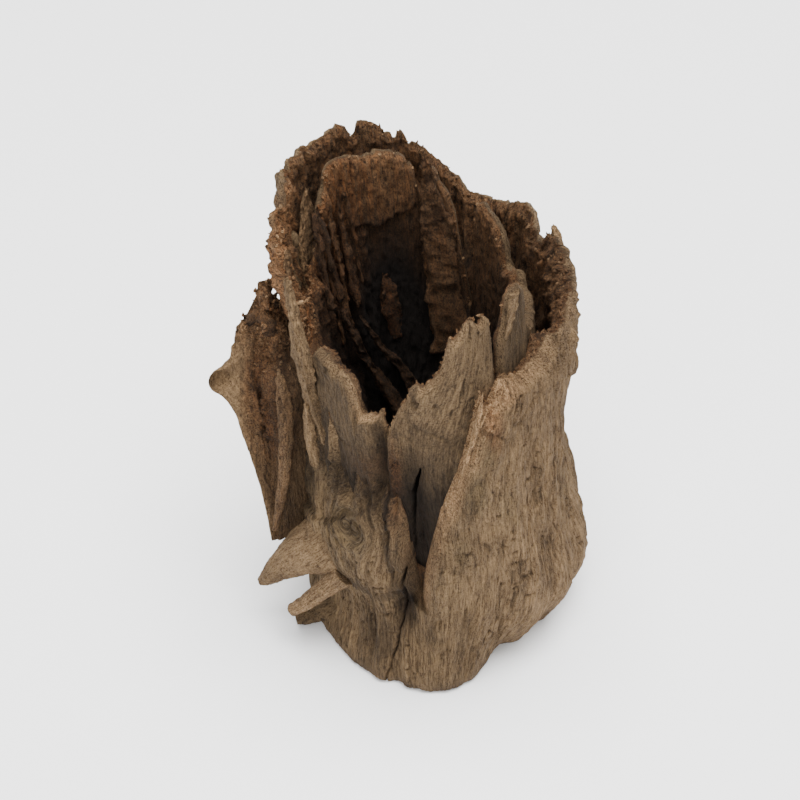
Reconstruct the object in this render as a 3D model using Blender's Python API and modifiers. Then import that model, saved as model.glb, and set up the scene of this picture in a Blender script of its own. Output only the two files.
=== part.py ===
"""A driftwood stump: one weathered, hollow piece of wood that stands on its cut root end.

Run it with blender --background --python part.py, or from Blender's text editor.
Metres, +Z up. The stump is laid out round an upright trunk line that leans a little to the left,
in plan angles counted in degrees from +X (right) through +Y (back), so that -90 is the front.
The finished solid is then moved so that the middle of its footprint box is at the origin.

The wood is one solid with these forms: an outer wall on lobed root toes, an inner wall that stands
apart from it at the top, broken shards along both rims, a fin with a rounded knob on the left,
and three root stubs at the lower left.
"""

import itertools
import math

import bmesh
import bpy
import numpy as np

MM = 0.001

# Driving dimensions
TRUNK_RADIUS = 48 * MM
LEAN = -11.0 / 150.0  # sideways shift of the trunk line for each unit of height
FOOT_SINK = 3 * MM  # how far the rough forms reach below the floor, where they are cut flat
CAVITY_FLOOR = 56 * MM
SOLID_FLOOR = 48 * MM  # floor of the outer wall's own hollow, hidden under the cavity's floor
INNER_LOW = 20 * MM  # where the inner wall's form starts, inside the solid foot
LAYER_OVERLAP = 2.6 * MM  # how deep the outer wall reaches into the inner one where they have grown together
LEAST_WALL = 3.2 * MM
RIM_TAPER = 13 * MM  # the walls thin over this height below their rims
RIM_SHARE = 0.36  # what is left of their thickness at the rim
VOXEL = 0.95 * MM
FINAL_TRIANGLES = 11200

WOOD_COLOUR = (0.27, 0.19, 0.125, 1.0)
WOOD_ROUGHNESS = 0.88

# Outer wall: mean radius against height, in mm
WALL_HEIGHTS = (-3, 0, 10, 28, 50, 80, 110, 150, 182)
WALL_RADII = (47.5, 49.0, 50.0, 49.5, 48.6, 47.0, 47.2, 47.4, 46.0)

# Radius of the foot's outline on the floor against plan angle, in mm
FOOT_RADII = (
    (-160, 53), (-145, 54.5), (-129, 56), (-112, 54.5), (-100, 53.5), (-91, 52), (-80, 46), (-72, 41),
    (-60, 37.5), (-50, 36.5), (-37, 36.5), (-25, 37), (-13, 39), (-4, 43), (4, 47), (15, 51), (35, 52),
    (60, 49), (90, 51), (120, 49.5), (150, 53), (175, 51),
)
FOOT_MEAN = 49
FOOT_FADE = 17 * MM

# Height of the outer wall's rim against plan angle, in mm
OUTER_RIM = (
    (-104, 40), (-101, 56), (-97, 70), (-92, 85), (-84, 101), (-78, 113), (-72, 129), (-69, 137), (-66, 133),
    (-60, 139), (-48, 139), (-40, 141), (-30, 147), (-20, 151), (-10, 154), (0, 156), (9, 157), (16, 157),
    (24, 154), (29, 152), (31, 146), (34, 152), (41, 157), (52, 155), (59, 152), (68, 154), (75, 158),
    (80, 161), (88, 168), (94, 170), (100, 176), (106, 176), (112, 181), (118, 182), (121, 177), (123, 182),
    (132, 183), (140, 181), (147, 184), (154, 182), (160, 178), (164, 178), (168, 171), (172, 166),
    (176, 158), (180, 150), (183, 138), (187, 112), (190, 98), (196, 98), (210, 98), (226, 100), (240, 96),
    (250, 90), (252, 80), (254, 54), (256, 40),
)

# Height of the inner wall's rim against plan angle, in mm
INNER_RIM = (
    (-115.5, 112), (-112, 121), (-108, 128), (-104, 132), (-102, 137), (-98, 139), (-95, 139), (-91, 142),
    (-87, 146), (-84, 152), (-82, 158), (-78, 159), (-74, 163), (-70, 164), (-66, 161), (-63, 164),
    (-60.5, 162), (-59.5, 128), (-57.8, 130), (-57, 150), (-54, 156), (-51.5, 163), (-50, 168), (-46, 170),
    (-41, 169), (-37.5, 167), (-36, 152), (-31, 147), (-24, 144), (-8, 141), (4, 142), (14, 142), (19, 146),
    (24, 143), (30, 141), (35, 140), (37, 149), (41.5, 156), (48, 157), (55, 161), (60, 158), (62, 146),
    (64, 124), (66, 114), (68, 118), (71, 140), (75, 152), (80, 162), (85, 168), (90, 169), (91.5, 148),
    (95, 146), (96.5, 168), (100, 172), (108, 176), (117, 178), (124, 176), (130, 178), (140, 180),
    (144, 179), (147, 177), (149, 171), (153, 170), (156, 169), (158, 163), (160, 157), (167, 154),
    (170, 148), (178, 143), (182, 136), (188, 124), (194, 115), (200, 109), (205.5, 110), (206.5, 135),
    (209, 141), (213, 142), (220, 144), (226, 147), (230, 145), (234.3, 142), (235.3, 122), (238, 124),
    (241, 122), (243.6, 126), (244.2, 112),
)

# Outer radius of the inner wall against plan angle, in mm
INNER_RADII = (
    (-115.5, 42), (-100, 41.6), (-80, 40.5), (-58, 39.5), (-40, 38), (-25, 35.5), (-8, 33), (15, 32.5),
    (35, 33.5), (60, 35), (90, 37), (120, 39.5), (150, 41), (172, 42.5), (184, 44), (205, 44.5),
    (220, 45), (234, 45), (240, 44.5), (244.2, 43.5),
)

# How far down the gap between the two walls reaches, against plan angle, in mm
GAP_FLOOR = (
    (-104, 170), (-42, 170), (-34, 150), (-28, 142), (-20, 120), (-8, 102), (10, 96), (35, 98), (55, 108),
    (70, 128), (82, 146), (100, 156), (125, 156), (145, 150), (160, 132), (175, 116), (185, 140),
    (195, 170), (256, 170),
)

# Thickness of the two walls and flare of the inner one against height, in mm
WALL_HEIGHTS_ABOVE_GAP = (90, 140, 180)
WALL_THICKNESSES = (7.2, 5.8, 4.6)
INNER_HEIGHTS = (50, 70, 110, 150, 178)
INNER_THICKNESSES = (15, 10.5, 8.0, 6.4, 5.0)
FLARE_HEIGHTS = (50, 100, 180)
FLARES = (1.5, 0.5, 0.0)
GAP_EASE = 7 * MM  # height over which the gap between the walls closes
# The lip inside the cavity's back: plan angle, half-width deg, height mm, half-height mm, swelling mm
CAVITY_LIP = (104, 30, 166, 10, 1.6)

# Root toes and folds of the foot: plan angle, half-width in degrees, swelling in mm (negative is a fold)
TOES = (
    (-96, 13, 2.2), (-66, 7, -2.6), (-54, 8, 2.0), (-43, 5, -4.0), (-31, 8, 2.4), (-21, 4, -3.6),
    (-11, 7, 2.4), (1, 5, -2.8), (18, 10, 2.2), (34, 6, -3.4), (52, 11, 3.4), (72, 7, -4.6), (92, 12, 2.6),
    (112, 7, -4.2), (134, 13, 3.6), (156, 6, -4.0), (176, 12, 3.2), (200, 10, 2.6), (224, 12, 1.6),
    (244, 8, 1.4),
)
TOE_FADE = 34 * MM

# Swellings and hollows of the outer wall: plan angle, height mm, half-width deg, half-height mm, swell mm
FORMS = (
    (-130, 60, 32, 24, 4.6),  # the smooth lump that carries the knot
    (-142, 98, 42, 9, -9.0),  # its shoulder, which leans back into the plates above
    (-150, 22, 16, 16, -2.4),
    (2, 82, 36, 30, -4.4),  # the waist on the right
    (-14, 122, 12, 26, 1.6),
    (12, 44, 16, 24, 1.2),
    (150, 162, 24, 46, 6.0),  # the wide corner at the back left
    (112, 172, 20, 36, 2.6),
    (176, 150, 9, 16, 3.6),  # the rotten edge on the left
    (60, 90, 20, 34, -3.0),
    (104, 110, 13, 54, 2.2),
    (128, 66, 12, 46, -4.0),
    (148, 44, 14, 28, 2.6),
    (34, 60, 7, 40, -3.0),
    (82, 40, 9, 34, 2.6),
)

# Clefts cut into both walls: plan angle, height of the middle mm, half-width deg, half-height mm, depth mm
CLEFTS = (
    (-103.5, 84, 3.2, 30, 9.0),
    (-109, 42, 6.5, 17, 10.0),
    (-113, 14, 2.6, 22, 4.0),
    (-117, 108, 2.4, 16, 5.0),
    (72, 120, 2.4, 40, 4.0),
    (158, 92, 2.2, 46, 4.0),
    (-46, 88, 1.6, 26, 2.2),
    (20, 100, 2.0, 30, 2.6),
)

# Round knots: plan angle, height mm, radius mm, relief mm
KNOTS = ((-129, 74, 6.5, 1.6), (5, 112, 5.0, 1.6), (96, 74, 7.0, 2.0))
KNOT_FLATTENING = 0.8  # a knot's width as a share of its height
KNOT_RING_SPREAD = 0.08
KNOT_PIT_SPREAD = 0.2
KNOT_PIT_DEPTH = 0.9  # as a share of the ring's relief

# Weathered grain: size across the grain mm, stretch along it, depth of the furrows mm, seed
GRAIN = ((11.0, 5.0, 1.5, 3), (5.2, 7.0, 0.75, 8))
FURROW_SHARPNESS = 0.3  # share of the noise about zero that a furrow takes
GRAIN_WANDER = 7  # degrees that the grain wanders to either side
WANDER_SIZE = 40 * MM
WANDER_STRETCH = 1.5
GRAIN_TWIST = 5 / (100 * MM)  # degrees that the grain turns with height
SWELL_SIZE = 26 * MM
SWELL_DEPTH = 1.5 * MM
SWELL_STRETCH = 2.4
SKIN_ROUGHNESS = 0.45 * MM  # uneven relief over the whole skin
SKIN_SIZE = 4.5 * MM
SKIN_STRETCH = 3

# The same grain is turned by an angle and scaled for the other three faces of the walls
INNER_GRAIN = (23, 0.8)
CAVITY_GRAIN = (71, 1.3)
GAP_GRAIN = (41, 0.7)

# Broken rims: seed, mean width of a splinter in degrees, and the most that one falls short in mm
OUTER_SPLINTERS = (21, 3.6, 3.4)
INNER_SPLINTERS = (34, 3.0, 4.2)
SPLINTER_WIDTHS = (0.35, 1.65)  # least and greatest width as a share of the mean
SPLINTER_BIAS = 1.6  # above 1, most splinters fall only a little short

# Shards that stand on their own: centre line (plan angle, radius mm, height mm), half-width and
# half-thickness in mm at each of its points
SHARDS = {
    "left_post": (
        ((186, 46.5, 156), (190, 47, 152), (198, 47.5, 146), (205, 47.5, 138), (211, 47.5, 127),
         (215, 47.5, 114), (218, 47, 98), (219, 44, 80)),
        (1.2, 2.8, 3.4, 4.4, 4.8, 4.6, 4.2, 4.0), (1.2, 2.2, 2.6, 2.6, 2.6, 2.8, 3.2, 3.4),
    ),
    "post_peg": (
        ((197, 41, 149), (193, 44, 148), (190, 46, 147)),
        (1.3, 1.5, 2.0), (1.1, 1.3, 1.6),
    ),
    "left_shard": (
        ((153, 42.5, 172), (154, 42.5, 165), (157, 42.5, 152), (161, 42, 136), (163, 41, 116)),
        (1.0, 3.6, 5.0, 5.8, 6.0), (1.0, 1.8, 2.2, 2.8, 3.2),
    ),
    "left_nub": (
        ((164, 44.5, 161), (165, 44.5, 156), (168, 44.5, 146), (171, 44, 132)),
        (1.6, 3.4, 4.0, 4.4), (1.3, 2.0, 2.4, 3.0),
    ),
    "front_sliver": (
        ((-155, 47.0, 118), (-154, 47.6, 112), (-152, 48.4, 102), (-150, 48.6, 90), (-148, 47, 74)),
        (0.9, 1.9, 2.8, 3.6, 3.8), (0.9, 1.5, 1.9, 2.2, 2.6),
    ),
    "front_splint": (
        ((-142, 47, 119), (-142, 47.4, 114), (-141, 47.6, 104), (-140, 47.6, 90)),
        (0.9, 1.7, 2.4, 3.0), (0.8, 1.3, 1.8, 2.2),
    ),
    "bright_splinter": (
        ((-46, 39.6, 172), (-46, 39.8, 167), (-47, 40.2, 158), (-50, 40.6, 146), (-52, 41, 132)),
        (2.6, 3.4, 3.0, 2.6, 1.8), (1.0, 1.5, 1.6, 1.6, 1.4),
    ),
    "torn_tuft": (
        ((-69, 45.0, 140), (-71, 45.4, 133), (-75, 45.6, 122), (-80, 45.8, 108), (-86, 45.4, 92)),
        (1.0, 2.2, 3.2, 3.6, 3.2), (1.0, 1.5, 2.0, 2.0, 2.0),
    ),
    "spear": (
        ((90.5, 33.5, 172), (89, 33, 164), (86, 32.4, 154), (82.5, 31.8, 140), (80, 31.4, 120),
         (78, 31.4, 96)),
        (1.2, 2.8, 5.0, 7.6, 8.4, 7.6), (1.2, 2.0, 2.6, 3.0, 3.4, 3.4),
    ),
    "slit_stick": (
        ((95, 35, 156), (95, 34.6, 148), (94.5, 34.4, 136)),
        (0.9, 1.2, 1.6), (0.9, 1.2, 1.6),
    ),
    "right_plate": (
        ((58, 33.5, 162), (57, 33.6, 156), (53, 33.4, 146), (50, 33, 130), (49, 33, 108)),
        (1.4, 3.4, 5.2, 6.4, 6.6), (1.2, 1.8, 2.2, 2.6, 3.0),
    ),
    "hook_tip": (
        ((37, 34, 152), (36, 34, 147), (33, 33.8, 140), (30, 33.4, 128)),
        (0.9, 1.8, 3.0, 4.0), (0.9, 1.5, 2.0, 2.4),
    ),
    "rim_spike": (
        ((27, 45.5, 158), (26, 45.8, 153), (24, 46, 146)),
        (1.0, 1.9, 3.0), (1.0, 1.6, 2.0),
    ),
    "cavity_rib": (
        ((158, 33, 122), (154, 31.5, 112), (147, 30, 98), (138, 28.5, 84), (128, 28, 70), (120, 28, 58)),
        (1.6, 2.4, 2.8, 2.8, 3.0, 4.0), (1.4, 2.2, 2.4, 2.4, 3.0, 4.0),
    ),
    "cavity_flake": (
        ((122, 31.6, 125), (121, 30.4, 120), (119, 30.8, 112), (117, 32.4, 100)),
        (0.9, 2.6, 3.4, 3.2), (0.9, 1.5, 2.0, 2.4),
    ),
}

# The fin: plan sections from its foot up. Each is a height and five points (x, y) in mm: the outer edge,
# the middle of the hollow front face, the front ridge, the root in the trunk, and the back.
FIN_SECTIONS = (
    (43, ((-66.0, -18.5), (-64.5, -18.5), (-62.0, -18.0), (-49, -10), (-60.5, -13))),
    (52, ((-67.0, -17), (-64, -15.5), (-60.5, -16.5), (-48, -6), (-61, -10))),
    (66, ((-69.0, -14.5), (-65, -11.5), (-60, -15.5), (-49, -3), (-63, -5))),
    (84, ((-73.0, -11), (-66, -6), (-59, -13.5), (-48, 3), (-66, 0))),
    (98, ((-77.5, -8), (-68, -2), (-58.5, -11), (-48, 8), (-69, 4))),
    (106, ((-81.5, -6.5), (-70, 0), (-58.8, -9), (-48, 11), (-72, 6))),
    (112, ((-81.0, -4.5), (-70, 2), (-59.5, -4), (-48, 13), (-72, 8))),
    (119, ((-77.5, -1), (-68, 4), (-59, 1), (-48, 15), (-69, 9.5))),
    (127, ((-73.0, 3), (-67, 6), (-58, 6), (-49, 16), (-66, 11))),
    (132, ((-70.5, 5), (-66, 7), (-58, 9), (-50, 16), (-64.5, 11.5))),
)
FIN_KNOB = ((-81.6, -5, 108.2), 4.0)
FIN_SPIKES = (
    # foot x, y, z, tip x, y, z, foot radius, all in mm
    (-75.0, 1, 118, -77.8, 0, 125.0, 1.9),
    (-72.0, 4, 123, -74.4, 3, 130.0, 2.6),
    (-69.5, 6, 126, -71.0, 5, 133.0, 2.2),
    (-67.5, 6, 127, -68.8, 6, 136.0, 2.4),
    (-65.0, 7, 128, -65.6, 8, 142.5, 2.8),
    (-62.0, 8, 126, -62.6, 8.5, 135.5, 2.4),
    (-58.5, 9, 124, -60.4, 9, 131.5, 2.6),
    (-58.5, 5, 116, -60.2, 3, 127.0, 2.4),
    (-66.0, 3, 112, -66.4, 0, 121.0, 2.2),
)
SPIKE_TIP = 0.9

# Root stubs and the fin's front ridge: points (x, y, z) and radii, in mm
STEMS = {
    "horn": (
        ((-44, -22, 48), (-54, -22, 42), (-62, -22, 34), (-68.5, -22.5, 27), (-72, -23, 25)),
        (12.5, 9.6, 6.2, 3.2, 2.0),
    ),
    "peg": (((-42, -33, 40), (-50, -33, 31), (-55, -32, 24), (-59.5, -31.5, 19.5)), (6.5, 4.0, 3.2, 2.8)),
    "runner": (((-38, -20, 12), (-48, -21, 8), (-54, -22, 5), (-59, -23, 4.2)), (8.0, 5.0, 3.8, 3.0)),
    "fin_ridge": (
        ((-61.2, -8, 117), (-60.3, -9.5, 110), (-59.3, -11.5, 99), (-59.8, -14, 84), (-61.5, -16.5, 68),
         (-65, -18, 48)),
        (0.9, 2.2, 2.9, 2.7, 2.3, 1.5),
    ),
}


def smooth_bump(offset, half_width):
    """A soft hill: 1 at the middle, about 0.5 at the half-width, 0 from twice the half-width outwards."""
    away = np.clip(np.abs(offset) / (2 * half_width), 0, 1)
    return 1 - away * away * (3 - 2 * away)


def turn(angle, centre):
    """Signed plan angle from centre to angle, in degrees, from -180 to 180."""
    return (angle - centre + 180) % 360 - 180


def around(table, angle):
    """The value of a table of (plan angle, value) pairs at each angle, straight between its points."""
    points = np.array(table, float)
    return np.interp(angle, points[:, 0], points[:, 1], period=360)


def eased(table, angle):
    """As around, with the corners rounded over a few degrees."""
    steps = (-6, -3, 0, 3, 6)
    return sum(around(table, angle + step) for step in steps) / len(steps)


def plan_point(angle, radius, height):
    """Where a point at this plan angle, radius and height from the leaning trunk line is."""
    turned = np.radians(angle)
    return np.stack(
        (LEAN * height + radius * np.cos(turned), radius * np.sin(turned), height + 0 * radius), -1
    )


def noise(points, seed):
    """Smooth noise from -1 to 1: a hashed value at each whole-numbered corner, eased in between."""
    cell = np.floor(points).astype(np.int64)
    share = points - cell
    share = share**3 * (share * (share * 6 - 15) + 10)
    total = 0
    for corner in itertools.product((0, 1), repeat=3):
        mixed = ((cell + corner) * (374761393, 668265263, 1103515245)).sum(-1) + seed * 1442695
        mixed = mixed & 0xFFFFFFFF
        mixed = ((mixed ^ (mixed >> 13)) * 1274126177) & 0xFFFFFFFF
        value = (mixed ^ (mixed >> 16)) / 0x7FFFFFFF - 1
        total = total + value * np.where(corner, share, 1 - share).prod(-1)
    return total


def skin_noise(angle, height, size, stretch, seed):
    """Noise over the trunk's skin, drawn out along the grain."""
    turned = np.radians(angle)
    place = (TRUNK_RADIUS * np.cos(turned), TRUNK_RADIUS * np.sin(turned), height / stretch + 0 * turned)
    return noise(np.stack(np.broadcast_arrays(*place), -1) / size, seed)


def grain(angle, height):
    """Worn grain as a change of radius: broad swells, cut by sharp wandering furrows."""
    wander = angle + GRAIN_WANDER * skin_noise(angle, height, WANDER_SIZE, WANDER_STRETCH, 1)
    wander = wander + GRAIN_TWIST * height
    change = SWELL_DEPTH * skin_noise(wander, height, SWELL_SIZE, SWELL_STRETCH, 2)
    for size, stretch, depth, seed in GRAIN:
        away = np.abs(skin_noise(wander, height, size * MM, stretch, seed)) / FURROW_SHARPNESS
        change = change - depth * MM * (1 - np.minimum(away, 1))
    return change


def turned_grain(angle, height, turned_by, share):
    """The grain of another face of the walls: the same grain from a different side of the trunk."""
    return share * grain(angle + turned_by, height)


def clefts(angle, height):
    """How deep the clefts go at each place."""
    level = height / MM
    depth = 0
    for centre, middle, half_width, half_height, deep in CLEFTS:
        along = smooth_bump(level - middle, half_height)
        depth = depth + deep * smooth_bump(turn(angle, centre), half_width) * along
    return depth * MM


def knots(angle, height):
    """Round knots: a raised ring about a sunken middle."""
    change = 0
    for centre, middle, radius, relief in KNOTS:
        across = np.radians(turn(angle, centre)) * TRUNK_RADIUS / MM
        distance = np.hypot(across, (height / MM - middle) * KNOT_FLATTENING) / radius
        ring = np.exp(-((distance - 1) ** 2) / KNOT_RING_SPREAD)
        pit = np.exp(-(distance**2) / KNOT_PIT_SPREAD)
        change = change + relief * (ring - KNOT_PIT_DEPTH * pit)
    return change * MM


def wall_surface(angle, height):
    """Radius of the outer wall's outside: mean radius, foot, toes, swellings, knots, clefts and grain."""
    level = height / MM
    radius = np.interp(level, WALL_HEIGHTS, WALL_RADII)
    foot = np.exp(-((np.clip(height, 0, None) / FOOT_FADE) ** 2))
    radius = radius + foot * (eased(FOOT_RADII, angle) - FOOT_MEAN)
    fade = np.exp(-np.clip(height, 0, None) / TOE_FADE)
    for centre, half_width, swell in TOES:
        radius = radius + swell * fade * smooth_bump(turn(angle, centre), half_width)
    for centre, middle, half_width, half_height, swell in FORMS:
        hill = smooth_bump(turn(angle, centre), half_width) * smooth_bump(level - middle, half_height)
        radius = radius + swell * hill
    return radius * MM + knots(angle, height) - clefts(angle, height) + grain(angle, height)


def inner_outside(angle, height):
    """Radius of the inner wall's outside."""
    flare = np.interp(height / MM, FLARE_HEIGHTS, FLARES)
    radius = (eased(INNER_RADII, angle) + flare) * MM
    return radius - clefts(angle, height) + turned_grain(angle, height, *INNER_GRAIN)


def cavity_radius(angle, height):
    """Radius of the cavity: the inner wall's mean outside less a thickness that grows downwards."""
    level = height / MM
    thickness = np.interp(level, INNER_HEIGHTS, INNER_THICKNESSES)
    centre, half_width, middle, half_height, swell = CAVITY_LIP
    lip = swell * smooth_bump(turn(angle, centre), half_width) * smooth_bump(level - middle, half_height)
    radius = (eased(INNER_RADII, angle) - thickness - lip) * MM
    radius = radius - turned_grain(angle, height, *CAVITY_GRAIN)
    return np.minimum(radius, inner_outside(angle, height) - LEAST_WALL)


def hollow_of_outer_wall(angle, height):
    """Radius of the outer wall's inside: a thin wall above the gap's floor, grown together below it."""
    gap_floor = eased(GAP_FLOOR, angle) * MM
    open_part = np.clip((height - gap_floor) / GAP_EASE + 0.5, 0, 1)
    open_part = open_part * open_part * (3 - 2 * open_part)
    grown_in = inner_outside(angle, height) - LAYER_OVERLAP
    thickness = np.interp(height / MM, WALL_HEIGHTS_ABOVE_GAP, WALL_THICKNESSES) * MM
    surface = wall_surface(angle, height)
    plain = surface - thickness - turned_grain(angle, height, *GAP_GRAIN)
    thin = np.maximum(np.minimum(plain, surface - LEAST_WALL), grown_in)
    return grown_in + open_part * (thin - grown_in)


def splinters(angle, seed, mean_width, depth):
    """How far each splinter of a broken rim falls short: uneven widths, heights and slopes round the rim."""
    draw = np.random.default_rng(seed)
    widths = draw.uniform(*SPLINTER_WIDTHS, int(360 / mean_width))
    widths *= 360 / widths.sum()
    edges = np.cumsum(widths)
    short = depth * draw.random(len(edges)) ** SPLINTER_BIAS
    slope = depth * draw.uniform(-1, 1, len(edges))
    at = angle % 360
    cell = np.minimum(np.searchsorted(edges, at), len(edges) - 1)
    share = (edges[cell] - at) / widths[cell]
    return np.clip(short[cell] + slope[cell] * (share - 0.5), 0, None) * MM


def outer_rim(angle):
    return around(OUTER_RIM, angle) * MM - splinters(angle, *OUTER_SPLINTERS)


def inner_rim(angle):
    return around(INNER_RIM, angle) * MM - splinters(angle, *INNER_SPLINTERS)


def grid_object(name, points, collection):
    """An object from a grid of points [rows, columns, 3]: columns close into rings, ends are capped."""
    rows, columns, _ = points.shape
    corners = np.arange(rows * columns).reshape(rows, columns)
    beside = np.roll(corners, -1, axis=1)
    sides = np.stack((corners[:-1], beside[:-1], beside[1:], corners[1:]), -1).reshape(-1, 4)
    ends = np.array((points[0].mean(0), points[-1].mean(0)))
    first, last = rows * columns, rows * columns + 1
    caps = [(first, b, a) for a, b in zip(corners[0], beside[0])]
    caps += [(last, a, b) for a, b in zip(corners[-1], beside[-1])]
    mesh = bpy.data.meshes.new(name)
    mesh.from_pydata(np.concatenate((points.reshape(-1, 3), ends)).tolist(), [], sides.tolist() + caps)
    return face_outwards(link_object(name, mesh, collection))


def link_object(name, mesh, collection):
    made = bpy.data.objects.new(name, mesh)
    collection.objects.link(made)
    return made


def face_outwards(made):
    """Turns the faces outwards and merges points that coincide."""
    work = bmesh.new()
    work.from_mesh(made.data)
    bmesh.ops.remove_doubles(work, verts=work.verts, dist=0.01 * MM)
    bmesh.ops.recalc_face_normals(work, faces=work.faces)
    work.to_mesh(made.data)
    work.free()
    return made


def wall_object(name, outside, inside, rim, low, floor, collection, columns=600, rows=64):
    """A cup-shaped wall as one grid: up its outside, over the broken rim and down its inside.

    Both faces are functions of plan angle and height. The wall thins towards its rim, so that it ends
    in a broken edge and not in a flat lip.
    """
    angle = np.linspace(-180, 180, columns, endpoint=False)[None, :]
    top = rim(angle)
    climb = np.linspace(0, 1, rows)[:, None]
    up = low + (top - low) * climb
    down = top + (floor - top) * climb
    share = RIM_SHARE + (1 - RIM_SHARE) * np.clip((top - down) / RIM_TAPER, 0, 1) ** 0.7
    skin = outside(angle, down)
    outer = plan_point(angle, outside(angle, up), up)
    inner = plan_point(angle, skin - share * (skin - inside(angle, down)), down)
    return grid_object(name, np.concatenate((outer, inner)), collection)


def blade_object(name, line, widths, thicknesses, collection, sides=16, steps=7):
    """A shard: a lens-shaped section carried along its centre line, its width along the trunk's skin."""
    line = np.array(line, float)
    stations = np.linspace(0, len(line) - 1, (len(line) - 1) * steps + 1)
    known = np.arange(len(line))
    angle, radius, height = (np.interp(stations, known, line[:, i]) for i in range(3))
    width, thickness = (np.interp(stations, known, sizes) for sizes in (widths, thicknesses))
    middle = plan_point(angle, radius * MM, height * MM)
    turned = np.radians(angle)
    outwards = np.stack((np.cos(turned), np.sin(turned), 0 * turned), -1)
    across = np.cross(np.gradient(middle, axis=0), outwards)
    across /= np.linalg.norm(across, axis=1)[:, None]
    lens = np.linspace(0, 2 * math.pi, sides, endpoint=False)
    section = (
        across[:, None] * (width[:, None] * np.cos(lens))[..., None]
        + outwards[:, None] * (thickness[:, None] * np.sin(lens))[..., None]
    )
    return grid_object(name, middle[:, None] + section * MM, collection)


def curve_through(before, start, end, after, share):
    """The smooth curve from start to end that passes through all four points."""
    return 0.5 * (
        2 * start
        + (end - before) * share
        + (2 * before - 5 * start + 4 * end - after) * share**2
        + (3 * start - before - 3 * end + after) * share**3
    )


def fin_object(name, collection, columns=60, rows=60):
    """The fin: its plan sections, each rounded to a smooth ring, joined from one height to the next."""
    heights = np.array([height for height, _ in FIN_SECTIONS], float)
    outline = np.array([points for _, points in FIN_SECTIONS], float)
    count = outline.shape[1]
    place = np.linspace(0, count, columns, endpoint=False)
    start = place.astype(int)
    neighbours = [outline[:, (start + shift) % count] for shift in (-1, 0, 1, 2)]
    rings = curve_through(*neighbours, (place - start)[None, :, None])
    level = np.linspace(heights[0], heights[-1], rows)
    below = np.clip(np.searchsorted(heights, level, side="right") - 1, 0, len(heights) - 2)
    share = (level - heights[below]) / (heights[below + 1] - heights[below])
    plan = rings[below] + share[:, None, None] * (rings[below + 1] - rings[below])
    tall = np.broadcast_to(level[:, None, None], (rows, columns, 1))
    return grid_object(name, np.concatenate((plan, tall), -1) * MM, collection)


def tube_object(name, points, radii, collection):
    """A root stub or spike: a curve with its own radius at each point, made a closed mesh."""
    curve = bpy.data.curves.new(name, "CURVE")
    curve.dimensions = "3D"
    curve.bevel_depth = 1.0
    curve.bevel_resolution = 3
    curve.use_fill_caps = True
    spline = curve.splines.new("POLY")
    spline.points.add(len(points) - 1)
    for knot, place, radius in zip(spline.points, points, radii):
        knot.co = (place[0] * MM, place[1] * MM, place[2] * MM, 1)
        knot.radius = radius * MM
    guide = link_object(name + "_line", curve, collection)
    mesh = bpy.data.meshes.new_from_object(guide.evaluated_get(bpy.context.evaluated_depsgraph_get()))
    bpy.data.objects.remove(guide)
    return face_outwards(link_object(name, mesh, collection))


def knob_object(name, place, radius, collection):
    bpy.ops.mesh.primitive_uv_sphere_add(
        segments=24, ring_count=14, radius=radius * MM, location=[c * MM for c in place]
    )
    made = bpy.context.object
    made.name = name
    for old in list(made.users_collection):
        old.objects.unlink(made)
    collection.objects.link(made)
    return made


def rough_forms(collection):
    """The closed forms that the stump is grown from, each of them overlapping its neighbours."""
    outer = (wall_surface, hollow_of_outer_wall, outer_rim, -FOOT_SINK, SOLID_FLOOR)
    inner = (inner_outside, cavity_radius, inner_rim, INNER_LOW, CAVITY_FLOOR)
    made = [
        wall_object("outer_wall", *outer, collection),
        wall_object("inner_wall", *inner, collection),
        fin_object("fin", collection),
        knob_object("fin_knob", *FIN_KNOB, collection),
    ]
    for name, (line, widths, thicknesses) in SHARDS.items():
        made.append(blade_object(name, line, widths, thicknesses, collection))
    for name, (points, radii) in STEMS.items():
        made.append(tube_object(name, points, radii, collection))
    for number, (*ends, radius) in enumerate(FIN_SPIKES):
        line = (ends[:3], ends[3:])
        made.append(tube_object(f"fin_spike_{number}", line, (radius, SPIKE_TIP), collection))
    return made


def joined(name, forms, collection):
    """One object holding all the forms, in world coordinates."""
    work = bmesh.new()
    for form in forms:
        mesh = form.data.copy()
        mesh.transform(form.matrix_world)
        work.from_mesh(mesh)
        bpy.data.meshes.remove(mesh)
        bpy.data.objects.remove(form)
    mesh = bpy.data.meshes.new(name)
    work.to_mesh(mesh)
    work.free()
    return link_object(name, mesh, collection)


def apply_modifiers(made):
    """Replaces the object's mesh by what its modifiers make of it."""
    graph = bpy.context.evaluated_depsgraph_get()
    mesh = bpy.data.meshes.new_from_object(made.evaluated_get(graph))
    made.modifiers.clear()
    made.data = mesh


def fused(stump):
    """Grows the overlapping forms together into one skin, softened a little where they meet."""
    remesh = stump.modifiers.new("grow_together", "REMESH")
    remesh.mode = "VOXEL"
    remesh.voxel_size = VOXEL
    soften = stump.modifiers.new("soften", "SMOOTH")
    soften.factor = 0.5
    soften.iterations = 1
    apply_modifiers(stump)


def weathered(stump):
    """Moves the skin in and out by uneven relief that is drawn out along the height."""
    mesh = stump.data
    count = len(mesh.vertices)
    place = np.empty(count * 3)
    normal = np.empty(count * 3)
    mesh.vertices.foreach_get("co", place)
    mesh.vertices.foreach_get("normal", normal)
    place = place.reshape(-1, 3)
    relief = noise(place / SKIN_SIZE / (1, 1, SKIN_STRETCH), 5)
    place += normal.reshape(-1, 3) * (relief * SKIN_ROUGHNESS)[:, None]
    mesh.vertices.foreach_set("co", place.ravel())
    mesh.update()


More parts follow.
